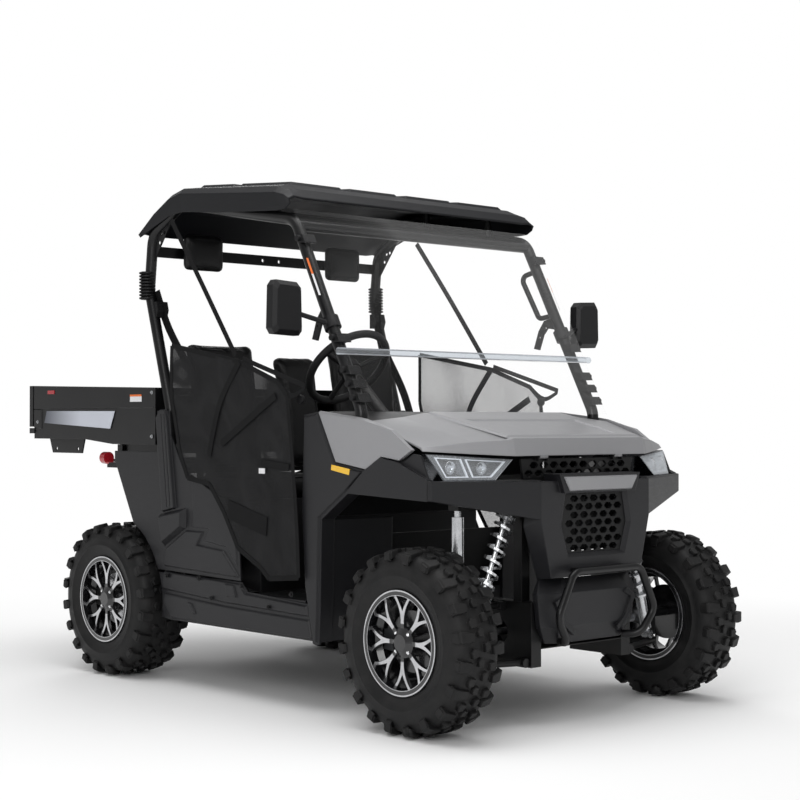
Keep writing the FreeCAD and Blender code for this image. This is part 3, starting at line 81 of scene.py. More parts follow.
def paper_floor():
    """Seamless white paper: matt, holds the vehicle's shadow, and runs off to plain white far away."""
    material, tree = new_material("Seamless paper")
    place = add(tree, "ShaderNodeTexCoord")
    far = add(tree, "ShaderNodeVectorMath", {0: place.outputs["Object"]}, operation="LENGTH")
    fade = add(tree, "ShaderNodeMapRange", {"Value": far.outputs["Value"], "From Min": 1.9, "From Max": 4.2},
               interpolation_type="SMOOTHSTEP")
    ray = add(tree, "ShaderNodeLightPath")
    seen = add(tree, "ShaderNodeMath", {0: ray.outputs["Is Camera Ray"], 1: ray.outputs["Is Glossy Ray"]},
               operation="ADD")
    seen = add(tree, "ShaderNodeMath", {0: seen.outputs[0], 1: ray.outputs["Is Transmission Ray"]},
               operation="ADD", use_clamp=True)
    share = add(tree, "ShaderNodeMath", {0: fade.outputs["Result"], 1: seen.outputs[0]}, operation="MULTIPLY")
    fibre = add(tree, "ShaderNodeTexNoise", {"Vector": place.outputs["Object"], "Scale": paper_fibres})
    bump = add(tree, "ShaderNodeBump", {"Height": fibre.outputs["Fac"], "Strength": 0.05, "Distance": 0.001})
    paper = add(tree, "ShaderNodeBsdfPrincipled", {"Base Color": linear("#fbfbfb"), "Roughness": 0.95,
                                                   "Specular IOR Level": 0.1, "Normal": bump.outputs[0]})
    white = add(tree, "ShaderNodeEmission", {"Color": linear("#ffffff"), "Strength": 1.0})
    mix = add(tree, "ShaderNodeMixShader", {0: share.outputs[0], 1: paper.outputs[0], 2: white.outputs[0]})
    add(tree, "ShaderNodeOutputMaterial", {"Surface": mix.outputs[0]})
    return material


floor_mesh = bpy.data.meshes.new("studio_floor")
floor_size = 30.0
floor_corners = [(x * floor_size, y * floor_size, 0) for x, y in ((-1, -1), (1, -1), (1, 1), (-1, 1))]
floor_mesh.from_pydata(floor_corners, [], [(0, 1, 2, 3)])
studio_floor = bpy.data.objects.new("studio_floor", floor_mesh)
bpy.context.scene.collection.objects.link(studio_floor)
floor_mesh.materials.append(paper_floor())

world = bpy.data.worlds.new("studio")
bpy.context.scene.world = world
world.use_nodes = True
world.node_tree.nodes.clear()
sky = add(world.node_tree, "ShaderNodeBackground", {"Color": linear("#ffffff"), "Strength": 0.45})
seen = add(world.node_tree, "ShaderNodeBackground", {"Color": linear("#ffffff"), "Strength": 1.0})
ray = add(world.node_tree, "ShaderNodeLightPath")
either = add(world.node_tree, "ShaderNodeMath", {0: ray.outputs["Is Camera Ray"],
                                                 1: ray.outputs["Is Transmission Ray"]}, operation="MAXIMUM")
mixed = add(world.node_tree, "ShaderNodeMixShader", {0: either.outputs[0], 1: sky.outputs[0],
                                                     2: seen.outputs[0]})
add(world.node_tree, "ShaderNodeOutputWorld", {"Surface": mixed.outputs[0]})

# place, aim, size and power of each soft box
for place, aim, size, power in (((0.5, -0.5, 5.5), (0, 0, 0.8), 5.0, 200),
                                ((4.5, -5.5, 3.2), (0, 0, 0.8), 3.0, 130),
                                ((-5.0, 3.5, 3.0), (0, 0, 0.8), 3.0, 90)):
    light = bpy.data.lights.new("soft_box", "AREA")
    light.energy = power
    light.size = size
    lamp = bpy.data.objects.new("soft_box", light)
    lamp.location = place
    lamp.rotation_euler = (Vector(aim) - Vector(place)).to_track_quat("-Z", "Y").to_euler()
    bpy.context.scene.collection.objects.link(lamp)

camera_data = bpy.data.cameras.new("camera")
camera_data.sensor_width = 36.0
camera_data.lens = 75.2
camera_data.shift_x = 0.0121
camera_data.shift_y = -0.0025
camera = bpy.data.objects.new("camera", camera_data)
camera.location = (5.258, -4.530, 1.057)
heading = math.radians(47.81)
rise = math.radians(0.84)
look = Vector((-math.sin(heading) * math.cos(rise), math.cos(heading) * math.cos(rise), math.sin(rise)))
camera.rotation_euler = look.to_track_quat("-Z", "Y").to_euler()
bpy.context.scene.collection.objects.link(camera)
bpy.context.scene.camera = camera
bpy.context.scene.view_settings.view_transform = "Standard"


# ---- Frame and roll cage ------------------------------------------------------------------------
# Box rails and bent round tube of mild steel, welded, then powder coated satin black. The coat shows a
# fine orange peel, gathers grey dust low down and has softly rounded corners.

def per_mm(size):
    """Texture scale for a pattern that repeats about every size millimetres."""
    return 1000.0 / size


def powder_coat(name, colour, dust, roughness):
    """Powder coated steel: a satin skin with orange peel, faint dust in patches and softened edges."""
    material, tree = new_material(name)
    place = add(tree, "ShaderNodeTexCoord").outputs["Object"]
    patches = add(tree, "ShaderNodeTexNoise", {"Vector": place, "Scale": per_mm(160), "Detail": 5.0})
    amount = add(tree, "ShaderNodeMapRange", {"Value": patches.outputs["Fac"], "From Min": 0.45,
                                              "From Max": 0.8})
    tone = add(tree, "ShaderNodeMixRGB", {0: amount.outputs[0], 1: linear(colour), 2: linear(dust)})
    rough = add(tree, "ShaderNodeMapRange", {"Value": patches.outputs["Fac"], "To Min": roughness - 0.06,
                                             "To Max": roughness + 0.14})
    edge = add(tree, "ShaderNodeBevel", {"Radius": 0.003}, samples=4)
    peel = add(tree, "ShaderNodeTexNoise", {"Vector": place, "Scale": per_mm(2.5), "Detail": 2.0})
    bump = add(tree, "ShaderNodeBump", {"Height": peel.outputs["Fac"], "Strength": 0.12, "Distance": 0.0006,
                                        "Normal": edge.outputs[0]})
    coat = add(tree, "ShaderNodeBsdfPrincipled", {"Base Color": tone.outputs[0],
                                                  "Roughness": rough.outputs[0],
                                                  "Specular IOR Level": 0.3, "Coat Weight": 0.12,
                                                  "Coat Roughness": 0.2, "Normal": bump.outputs[0]})
    add(tree, "ShaderNodeOutputMaterial", {"Surface": coat.outputs[0]})
    return material


def in_slot(material, slot):
    """Notes which of the record's material slots a finish stands for."""
    material["slot"] = slot
    return material


def finish(material, *names):
    """Gives a material to every slot of these CAD nodes."""
    for name in names:
        for slot in nodes[name].material_slots:
            slot.material = material


black_powder = in_slot(powder_coat("Satin black powder coat", "#08080a", "#171717", 0.30), "black_steel")
frame_powder = in_slot(powder_coat("Dusty black powder coat", "#09090a", "#201e1c", 0.46), "black_steel")
finish(black_powder, "roll_cage", "grab_handle", "bull_bar")
finish(frame_powder, "main_frame", "front_arms", "rear_arms", "skid_plate", "hitch", "steering_column")


def add_piece(name, body, mesh, material, smooth=False):
    """Puts a mesh in the scene as a piece that rides on a body."""
    obj = bpy.data.objects.new(name, mesh)
    bpy.context.scene.collection.objects.link(obj)
    mesh.materials.append(material)
    for polygon in mesh.polygons:
        polygon.use_smooth = smooth
    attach(obj, body)
    return obj


def mesh_from(name, build):
    """A mesh made by a function that fills a bmesh."""
    bm = bmesh.new()
    build(bm)
    bmesh.ops.recalc_face_normals(bm, faces=bm.faces)
    mesh = bpy.data.meshes.new(name)
    bm.to_mesh(mesh)
    bm.free()
    return mesh


def build_piece(name, body, build, material, smooth=False):
    """A piece whose mesh is made by a function that fills a bmesh."""
    return add_piece(name, body, mesh_from(name, build), material, smooth)


def add_rings(bm, rings, closed=True, ends=True):
    """Joins rings of points that follow one another with faces, and closes the ends."""
    rows = [[bm.verts.new(p) for p in ring] for ring in rings]
    count = len(rings[0])
    for near, far in zip(rows, rows[1:]):
        for n in range(count if closed else count - 1):
            bm.faces.new((near[n], near[(n + 1) % count], far[(n + 1) % count], far[n]))
    if ends:
        bm.faces.new(rows[0])
        bm.faces.new(rows[-1])
    return rows


def round_ring(centre, axis, radius, count, turn=0.0):
    """Points of a circle about an axis."""
    side = axis.orthogonal().normalized()
    up = axis.cross(side).normalized()
    angles = [turn + 2 * math.pi * n / count for n in range(count)]
    return [centre + side * (math.cos(a) * radius) + up * (math.sin(a) * radius) for a in angles]


def add_turned(bm, base, axis, profile, count=24, turn=0.0):
    """A turned form: (distance along the axis, radius) stations from its base."""
    axis = axis.normalized()
    add_rings(bm, [round_ring(base + axis * along, axis, radius, count, turn) for along, radius in profile])


def bolt_heads(name, body, places, axis, size, material):
    """Flanged hexagon bolts, at a list of places, with their heads along an axis."""
    def build(bm):
        for place in places:
            add_turned(bm, place, axis, [(0, size), (size * 0.16, size), (size * 0.22, size * 0.85)])
            add_turned(bm, place, axis, [(size * 0.2, size * 0.62), (size * 0.7, size * 0.62),
                                         (size * 0.82, size * 0.52)], 6)
    return build_piece(name, body, build, material)


def zinc_plate():
    """Zinc plated steel: a cool bright metal, cloudy from the bath and dull where it is handled."""
    material, tree = new_material("Zinc plated steel")
    place = add(tree, "ShaderNodeTexCoord").outputs["Object"]
    cloud = add(tree, "ShaderNodeTexNoise", {"Vector": place, "Scale": per_mm(14), "Detail": 4.0})
    tone = add(tree, "ShaderNodeMixRGB", {0: cloud.outputs["Fac"], 1: linear("#8d8f93"),
                                          2: linear("#c4c6c8")})
    rough = add(tree, "ShaderNodeMapRange", {"Value": cloud.outputs["Fac"], "To Min": 0.22, "To Max": 0.46})
    edge = add(tree, "ShaderNodeBevel", {"Radius": 0.0015}, samples=4)
    metal = add(tree, "ShaderNodeBsdfPrincipled", {"Base Color": tone.outputs[0], "Metallic": 1.0,
                                                   "Roughness": rough.outputs[0], "Normal": edge.outputs[0]})
    add(tree, "ShaderNodeOutputMaterial", {"Surface": metal.outputs[0]})
    return material


zinc = in_slot(zinc_plate(), "bare_metal")
front_x = sum((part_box("rim_front_left")[n].x for n in (0, 1))) / 2
rear_x = sum((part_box("rim_rear_left")[n].x for n in (0, 1))) / 2
axle_z = sum((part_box("rim_rear_left")[n].z for n in (0, 1))) / 2
cage_y = (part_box("roll_cage")[1].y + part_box("grab_handle")[1].y - 0.0115) / 2


# ---- Engine, drive and suspension ---------------------------------------------------------------
# Cast aluminium cases, steel shafts with moulded rubber boots, and dampers with bright bodies inside
# silver coil springs. The castings are grey and rough from the sand, the springs are smooth.

def cast_alloy(name, dark, light):
    """Sand cast aluminium: a matt grey skin with a coarse grain and darker patches at random."""
    material, tree = new_material(name)
    place = add(tree, "ShaderNodeTexCoord").outputs["Object"]
    stain = add(tree, "ShaderNodeTexNoise", {"Vector": place, "Scale": per_mm(60), "Detail": 6.0})
    tone = add(tree, "ShaderNodeMixRGB", {0: stain.outputs["Fac"], 1: linear(dark), 2: linear(light)})
    grain = add(tree, "ShaderNodeTexNoise", {"Vector": place, "Scale": per_mm(1.6), "Detail": 3.0})
    edge = add(tree, "ShaderNodeBevel", {"Radius": 0.004}, samples=4)
    bump = add(tree, "ShaderNodeBump", {"Height": grain.outputs["Fac"], "Strength": 0.35, "Distance": 0.0006,
                                        "Normal": edge.outputs[0]})
    metal = add(tree, "ShaderNodeBsdfPrincipled", {"Base Color": tone.outputs[0], "Metallic": 0.8,
                                                   "Roughness": 0.55, "Normal": bump.outputs[0]})
    add(tree, "ShaderNodeOutputMaterial", {"Surface": metal.outputs[0]})
    return material


def spring_steel():
    """Silver painted spring wire and chromed damper tube: bright, with fine rings left by grinding."""
    material, tree = new_material("Bright spring steel")
    place = add(tree, "ShaderNodeTexCoord").outputs["Object"]
    grind = add(tree, "ShaderNodeTexWave", {"Vector": place, "Scale": per_mm(6), "Distortion": 1.0},
                bands_direction="Z")
    haze = add(tree, "ShaderNodeTexNoise", {"Vector": place, "Scale": per_mm(30), "Detail": 4.0})
    tone = add(tree, "ShaderNodeMixRGB", {0: haze.outputs["Fac"], 1: linear("#a9abae"), 2: linear("#e6e7e9")})
    rough = add(tree, "ShaderNodeMapRange", {"Value": haze.outputs["Fac"], "To Min": 0.16, "To Max": 0.34})
    bump = add(tree, "ShaderNodeBump", {"Height": grind.outputs["Fac"], "Strength": 0.06, "Distance": 0.0004})
    metal = add(tree, "ShaderNodeBsdfPrincipled", {"Base Color": tone.outputs[0], "Metallic": 0.92,
                                                   "Roughness": rough.outputs[0], "Normal": bump.outputs[0]})
    add(tree, "ShaderNodeOutputMaterial", {"Surface": metal.outputs[0]})
    return material


finish(cast_alloy("Cast aluminium case", "#3b3c3e", "#6a6b6c"), "engine", "front_diff", "steering_rack")
finish(cast_alloy("Cast iron upright", "#252628", "#47484a"), "knuckle_left", "knuckle_right")
finish(spring_steel(), "shocks")
finish(zinc, "tie_rods", "half_shafts")


# ---- Tyres --------------------------------------------------------------------------------------
# All-terrain tyres of black rubber, moulded in one piece: a carcass with ribbed sidewalls, stepped
# shoulder lugs, and staggered blocks between them. Rubber is matt, with a bloom of grey dust.

def tyre_rubber():
    """Moulded rubber: nearly black and matt, greyer where dust sits, with a fine mould grain."""
    material, tree = new_material("Moulded tyre rubber")
    place = add(tree, "ShaderNodeTexCoord").outputs["Object"]
    dust = add(tree, "ShaderNodeTexNoise", {"Vector": place, "Scale": per_mm(70), "Detail": 8.0,
                                            "Roughness": 0.6})
    amount = add(tree, "ShaderNodeMapRange", {"Value": dust.outputs["Fac"], "From Min": 0.42,
                                              "From Max": 0.75})
    tone = add(tree, "ShaderNodeMixRGB", {0: amount.outputs[0], 1: linear("#0a0a0b"), 2: linear("#201f1f")})
    rough = add(tree, "ShaderNodeMapRange", {"Value": dust.outputs["Fac"], "To Min": 0.42, "To Max": 0.75})
    grain = add(tree, "ShaderNodeTexNoise", {"Vector": place, "Scale": per_mm(1.8), "Detail": 4.0})
    edge = add(tree, "ShaderNodeBevel", {"Radius": 0.0025}, samples=4)
    bump = add(tree, "ShaderNodeBump", {"Height": grain.outputs["Fac"], "Strength": 0.3, "Distance": 0.0006,
                                        "Normal": edge.outputs[0]})
    rubber = add(tree, "ShaderNodeBsdfPrincipled", {"Base Color": tone.outputs[0],
                                                    "Roughness": rough.outputs[0],
                                                    "IOR": 1.5, "Specular IOR Level": 0.34,
                                                    "Normal": bump.outputs[0]})
    add(tree, "ShaderNodeOutputMaterial", {"Surface": rubber.outputs[0]})
    return material


rubber = in_slot(tyre_rubber(), "tyre_rubber")
tyre_pitches = 20
tread_depth = 0.014
# steps round the carcass, and points across it from bead to bead
carcass_steps, carcass_points = 80, 30


def add_lug(bm, centre, outline, top, base, start):
    """A tread block: an outline of (distance round, y) points raised from the base to the top radius."""
    reach = top(0)
    middle = [sum(p[n] for p in outline) / len(outline) for n in (0, 1)]
    rings = []
    for grow, lift in ((1.1, None), (1.0, -0.003), (0.9, 0.0)):
        ring = []
        for along, y in outline:
            along = middle[0] + (along - middle[0]) * grow
            y = middle[1] + (y - middle[1]) * grow
            radius = base(y) - 0.002 if lift is None else top(y) + lift
            angle = start + along / reach
            ring.append(centre + Vector((radius * math.cos(angle), y, radius * math.sin(angle))))
        rings.append(ring)
    add_rings(bm, rings)


def build_tyre(bm, centre, radius, half, turn):
    """One tyre: the carcass turned about the axle, then its lugs pitch by pitch."""
    floor = radius - tread_depth
    # radius and y of the sidewall from the bead to the tread, with two moulded ribs
    side_wall = [(0.166, half - 0.026), (0.172, half - 0.019), (0.183, half - 0.015), (0.186, half - 0.011),
                 (0.190, half - 0.012), (0.205, half - 0.005), (0.222, half - 0.001), (0.224, half + 0.001),
                 (0.228, half + 0.001), (0.230, half - 0.001), (0.250, half - 0.002), (0.270, half - 0.008),
                 (floor - 0.014, half - 0.017), (floor - 0.004, half - 0.030), (floor, half - 0.048)]
    profile = side_wall + [(r, -y) for r, y in reversed(side_wall)]
    rings = []
    for n in range(carcass_steps):
        a = 2 * math.pi * n / carcass_steps
        rings.append([centre + Vector((r * math.cos(a), y, r * math.sin(a))) for r, y in profile])
    add_rings(bm, rings + [rings[0]], closed=False, ends=False)

    def shoulder_drop(y, out, drop):
        return drop * max(0.0, abs(y) - (half - out)) / out

    def top(y):
        return radius - shoulder_drop(y, 0.045, 0.010)

    def base(y):
        return floor - shoulder_drop(y, 0.05, 0.02)

    step = 2 * math.pi / tyre_pitches
    pitch = step * radius
    for n in range(tyre_pitches):
        for side in (1, -1):
            start = turn + step * (n + (0.5 if side < 0 else 0))
            long_lug = n % 2
            inner = half - (0.058 if long_lug else 0.05)
            outline = [(-0.018, inner), (0.010, inner - 0.004), (0.016, half - 0.03), (0.020, half - 0.004),
                       (-0.020, half - 0.004), (-0.022, half - 0.03)]
            add_lug(bm, centre, [(x, side * y) for x, y in outline], top, base, start)
            # the step that runs down the sidewall from each shoulder lug
            low = radius - (0.052 if long_lug else 0.042)
            section = [(radius - 0.012, half - 0.010), (radius - 0.016, half + 0.001),
                       (low + 0.006, half + 0.002), (low, half - 0.006)]
            wide = 0.017 if long_lug else 0.014
            rings = []
            for along in (-wide, wide):
                a = start + along / radius
                rings.append([centre + Vector((r * math.cos(a), side * y, r * math.sin(a)))
                              for r, y in section])
            add_rings(bm, rings)
            middle_y = half * 0.42
            block = [(-0.014, middle_y - 0.012), (0.012, middle_y - 0.016), (0.017, middle_y + 0.006),
                     (0.004, middle_y + 0.016), (-0.016, middle_y + 0.010)]
            add_lug(bm, centre, [(x + pitch * 0.42, side * y) for x, y in block], top, base, start)
            inner_y = half * 0.13
            block = [(-0.016, inner_y - 0.010), (0.010, inner_y - 0.012), (0.016, inner_y + 0.004),
                     (0.002, inner_y + 0.013), (-0.014, inner_y + 0.010)]
            add_lug(bm, centre, [(x + pitch * 0.1, side * y) for x, y in block], top, base, start)


wheels = (("front_left", "wheel_front_left"), ("front_right", "wheel_front_right"),
          ("rear_left", "wheel_rear_left"), ("rear_right", "wheel_rear_right"))
for spot, body in wheels:
    low, high = (Vector(p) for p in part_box("tyre_" + spot))
    centre = (low + high) / 2
    centre.z = axle_z
    half = (high.y - low.y) / 2 - 0.002
    tyre_mesh = mesh_from("tyre_tread_" + spot,
                          lambda bm: build_tyre(bm, centre, axle_z, half, math.pi / 2 * 3))
    tyre = add_piece("tyre_tread_" + spot, body, tyre_mesh, rubber)
    # the carcass is shaded smooth and the lugs are flat
    for polygon in tyre_mesh.polygons:
        polygon.use_smooth = len(polygon.vertices) == 4 and polygon.index < carcass_steps * carcass_points
    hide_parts("tyre_" + spot)


# ---- Alloy wheels -------------------------------------------------------------------------------
# Cast alloy wheels with forked spokes. The casting is painted gloss black, then the lip and the spoke
# faces are cut bright on a lathe and lacquered. Four plated nuts and a black cap close the hub.

def cut_alloy(bright_from, face_depth):
    """Diamond cut alloy: gloss black paint in the hollows, turned bright metal on what faces outward."""
    material, tree = new_material("Diamond cut alloy, gloss black")
    coords = add(tree, "ShaderNodeTexCoord")
    offset = add(tree, "ShaderNodeVectorMath", {0: coords.outputs["Generated"], 1: (0.5, 0.5, 0.5)},
                 operation="SUBTRACT")
    size = Vector(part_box("rim_front_left")[1]) - Vector(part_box("rim_front_left")[0])
    flat = add(tree, "ShaderNodeVectorMath", {0: offset.outputs[0], 1: (size.x, 0.0, size.x)},
               operation="MULTIPLY")
    radius = add(tree, "ShaderNodeVectorMath", {0: flat.outputs[0]}, operation="LENGTH").outputs["Value"]
    normal = add(tree, "ShaderNodeSeparateXYZ", {0: coords.outputs["Normal"]})
    facing = add(tree, "ShaderNodeMath", {0: normal.outputs["Y"]}, operation="ABSOLUTE")
    faced = add(tree, "ShaderNodeMapRange", {"Value": facing.outputs[0], "From Min": bright_from,
                                             "From Max": bright_from + 0.01})
    outside = add(tree, "ShaderNodeMapRange", {"Value": radius, "From Min": 0.062, "From Max": 0.066})
    lip = add(tree, "ShaderNodeMapRange", {"Value": radius, "From Min": 0.1728, "From Max": 0.1736})
    depth = add(tree, "ShaderNodeSeparateXYZ", {0: offset.outputs[0]})
    depth = add(tree, "ShaderNodeMath", {0: depth.outputs["Y"]}, operation="ABSOLUTE")
    near_face = add(tree, "ShaderNodeMath", {0: depth.outputs[0], 1: face_depth}, operation="GREATER_THAN")
    spokes = add(tree, "ShaderNodeMath", {0: faced.outputs[0], 1: outside.outputs[0]}, operation="MULTIPLY")
    spokes = add(tree, "ShaderNodeMath", {0: spokes.outputs[0], 1: near_face.outputs[0]},
                 operation="MULTIPLY")
    flange = add(tree, "ShaderNodeMath", {0: radius, 1: 0.1605}, operation="LESS_THAN")
    spokes = add(tree, "ShaderNodeMath", {0: spokes.outputs[0], 1: flange.outputs[0]}, operation="MULTIPLY")
    bright = add(tree, "ShaderNodeMath", {0: spokes.outputs[0], 1: lip.outputs[0]}, operation="MAXIMUM")
    # the cutter's rings, drawn 1.5 mm apart, as real ones are too fine to show
    lathe = add(tree, "ShaderNodeMath", {0: radius, 1: 2 * math.pi * per_mm(1.5)}, operation="MULTIPLY")
    lathe = add(tree, "ShaderNodeMath", {0: lathe.outputs[0]}, operation="SINE")
    haze = add(tree, "ShaderNodeTexNoise", {"Vector": coords.outputs["Object"], "Scale": per_mm(35),
                                            "Detail": 5.0})
    tone = add(tree, "ShaderNodeMixRGB", {0: haze.outputs["Fac"], 1: linear("#a4a5a8"), 2: linear("#e4e4e6")})
    rings = add(tree, "ShaderNodeBump", {"Height": lathe.outputs[0], "Strength": 0.1, "Distance": 0.0002})
    soft = add(tree, "ShaderNodeBevel", {"Radius": 0.002}, samples=4)
    metal = add(tree, "ShaderNodeBsdfPrincipled", {"Base Color": tone.outputs[0], "Metallic": 1.0,
                                                   "Roughness": 0.24, "Normal": rings.outputs[0]})
    dust = add(tree, "ShaderNodeMixRGB", {0: haze.outputs["Fac"], 1: linear("#08080a"), 2: linear("#1b1b1d")})
    paint = add(tree, "ShaderNodeBsdfPrincipled", {"Base Color": dust.outputs[0], "Roughness": 0.22,
                                                   "IOR": 1.5, "Coat Weight": 0.6, "Coat Roughness": 0.08,
                                                   "Normal": soft.outputs[0]})
    mix = add(tree, "ShaderNodeMixShader", {0: bright.outputs[0], 1: paint.outputs[0], 2: metal.outputs[0]})
    add(tree, "ShaderNodeOutputMaterial", {"Surface": mix.outputs[0]})
    return material


def chrome(name, roughness, dark="#d9dadc", light="#f4f4f5"):
    """Chrome plate: a mirror with a faint haze and tiny pits."""
    material, tree = new_material(name)
    place = add(tree, "ShaderNodeTexCoord").outputs["Object"]
    haze = add(tree, "ShaderNodeTexNoise", {"Vector": place, "Scale": per_mm(12), "Detail": 5.0})
    rough = add(tree, "ShaderNodeMapRange", {"Value": haze.outputs["Fac"], "To Min": roughness,
                                             "To Max": roughness + 0.12})
    tone = add(tree, "ShaderNodeMixRGB", {0: haze.outputs["Fac"], 1: linear(dark), 2: linear(light)})
    pits = add(tree, "ShaderNodeBump", {"Height": haze.outputs["Fac"], "Strength": 0.03, "Distance": 0.0004})
    metal = add(tree, "ShaderNodeBsdfPrincipled", {"Base Color": tone.outputs[0], "Metallic": 1.0,
                                                   "Roughness": rough.outputs[0], "Normal": pits.outputs[0]})
    add(tree, "ShaderNodeOutputMaterial", {"Surface": metal.outputs[0]})
    return material


finish(cut_alloy(0.985, 0.2), *["rim_" + spot for spot, _ in wheels])
bright_chrome = in_slot(chrome("Chrome plate", 0.05), "bare_metal")
nut_circle = 0.042
for spot, body in wheels:
    low, high = (Vector(p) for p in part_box("rim_" + spot))
    outward = 1 if low.y > 0 else -1
    hub_face = (high.y if outward > 0 else low.y) - outward * 0.034

    def build_nuts(bm):
        for n in range(4):
            a = math.radians(45 + 90 * n)
            place = Vector(((low.x + high.x) / 2 + nut_circle * math.cos(a), hub_face,
                            axle_z + nut_circle * math.sin(a)))
            out = Vector((0, outward, 0))
            add_turned(bm, place, out, [(-0.006, 0.011), (0.004, 0.011), (0.006, 0.0095)], 20)
            add_turned(bm, place, out, [(0.004, 0.0095), (0.016, 0.0095), (0.020, 0.008), (0.023, 0.004)], 6)
    build_piece("wheel_nuts_" + spot, body, build_nuts, bright_chrome)


# ---- Steering -----------------------------------------------------------------------------------
# A three-spoke wheel with a foamed polyurethane grip over a steel ring, on a painted column. The foam
# is soft black with a leather grain pressed into it.

def grained_skin(name, colour, shade, grain, roughness, depth):
    """A pressed leather grain: pebbles and fine creases on a soft black skin, shinier where worn."""
    material, tree = new_material(name)
    place = add(tree, "ShaderNodeTexCoord").outputs["Object"]
    pebbles = add(tree, "ShaderNodeTexVoronoi", {"Vector": place, "Scale": per_mm(grain)},
                  feature="DISTANCE_TO_EDGE")
    crease = add(tree, "ShaderNodeMapRange", {"Value": pebbles.outputs["Distance"], "From Max": 0.18})
    wear = add(tree, "ShaderNodeTexNoise", {"Vector": place, "Scale": per_mm(90), "Detail": 4.0})
    tone = add(tree, "ShaderNodeMixRGB", {0: wear.outputs["Fac"], 1: linear(colour), 2: linear(shade)})
    rough = add(tree, "ShaderNodeMapRange", {"Value": wear.outputs["Fac"], "To Min": roughness - 0.08,
                                             "To Max": roughness + 0.12})
    bump = add(tree, "ShaderNodeBump", {"Height": crease.outputs[0], "Strength": depth, "Distance": 0.0005})
    skin = add(tree, "ShaderNodeBsdfPrincipled", {"Base Color": tone.outputs[0],
                                                  "Roughness": rough.outputs[0],
                                                  "IOR": 1.48, "Specular IOR Level": 0.35,
                                                  "Normal": bump.outputs[0]})
    add(tree, "ShaderNodeOutputMaterial", {"Surface": skin.outputs[0]})
    return material


finish(grained_skin("Foamed grip skin", "#141415", "#222223", 2.0, 0.55, 0.3), "steering_wheel")


# ---- Cab mouldings ------------------------------------------------------------------------------
# Floor, seat box and instrument panel are moulded polypropylene, dark grey through and through. The
# mould leaves a fine spark-eroded grain, and scuffs show as paler smudges.

def moulded(name, colour, shade, scuff, grain, roughness, depth=0.25, edge_radius=0.005, shine=0.3):
    """Moulded polypropylene: a fine even grain, soft edges, faint scuffs and slow colour change."""
    material, tree = new_material(name)
    place = add(tree, "ShaderNodeTexCoord").outputs["Object"]
    slow = add(tree, "ShaderNodeTexNoise", {"Vector": place, "Scale": per_mm(260), "Detail": 3.0})
    tone = add(tree, "ShaderNodeMixRGB", {0: slow.outputs["Fac"], 1: linear(colour), 2: linear(shade)})
    stretch = add(tree, "ShaderNodeMapping", {"Vector": place, "Scale": (1.0, 1.0, 5.0)})
    marks = add(tree, "ShaderNodeTexNoise", {"Vector": stretch.outputs[0], "Scale": per_mm(55), "Detail": 9.0,
                                             "Roughness": 0.7})
    amount = add(tree, "ShaderNodeMapRange", {"Value": marks.outputs["Fac"], "From Min": 0.6,
                                              "From Max": 0.82, "To Max": 0.35})
    worn = add(tree, "ShaderNodeMixRGB", {0: amount.outputs[0], 1: tone.outputs[0], 2: linear(scuff)})
    rough = add(tree, "ShaderNodeMapRange", {"Value": marks.outputs["Fac"], "To Min": roughness - 0.08,
                                             "To Max": roughness + 0.1})
    edge = add(tree, "ShaderNodeBevel", {"Radius": edge_radius}, samples=4)
    pips = add(tree, "ShaderNodeTexNoise", {"Vector": place, "Scale": per_mm(grain), "Detail": 2.0})
    bump = add(tree, "ShaderNodeBump", {"Height": pips.outputs["Fac"], "Strength": depth, "Distance": 0.0005,
                                        "Normal": edge.outputs[0]})
    plastic = add(tree, "ShaderNodeBsdfPrincipled", {"Base Color": worn.outputs[0],
                                                     "Roughness": rough.outputs[0],
                                                     "IOR": 1.49, "Specular IOR Level": shine,
                                                     "Normal": bump.outputs[0]})
    add(tree, "ShaderNodeOutputMaterial", {"Surface": plastic.outputs[0]})
    return material


black_moulding = in_slot(moulded("Black polypropylene", "#0c0c0d", "#141416", "#2c2c2e", 1.4, 0.5),
                         "charcoal_plastic")
finish(black_moulding, "seat_base", "dash", "cab_floor", "pedals", "rear_fenders", "screen_clamps")


# ---- Seats --------------------------------------------------------------------------------------
# Foam cushions and backs wrapped in black vinyl, sewn with piped seams and a pressed panel line. The
# foam swells between the seams. Two small headrests hang on the cross bar.

seat_vinyl = in_slot(grained_skin("Black seat vinyl", "#0b0b0c", "#151516", 1.7, 0.42, 0.3), "seat_vinyl")
most_swell = 0.014
last_frame = 14
cushion_round = 0.028
back_round = 0.03
back_lean = 0.16
back_thick = 0.077
headrest_y = 0.385
headrest_half = 0.11
piping = 0.0035


def padded_block(name, lows, highs, radius, tilt=0.0):
    """A foam pad inside a CAD solid's box: a rounded block that is blown up a little as cloth."""
    low, high = Vector(lows), Vector(highs)
    size = high - low
    inset = most_swell * 0.8

    def build(bm):
        bmesh.ops.create_cube(bm, size=1.0)
        for vert in bm.verts:
            vert.co = Vector([low[n] + inset + (vert.co[n] + 0.5) * (size[n] - 2 * inset) for n in range(3)])
            vert.co.x += tilt * (vert.co.z - low.z)
        bmesh.ops.bevel(bm, geom=bm.edges[:], offset=radius, segments=3, affect="EDGES", profile=0.5)
    return build_piece(name, "chassis", build, seat_vinyl, smooth=True)


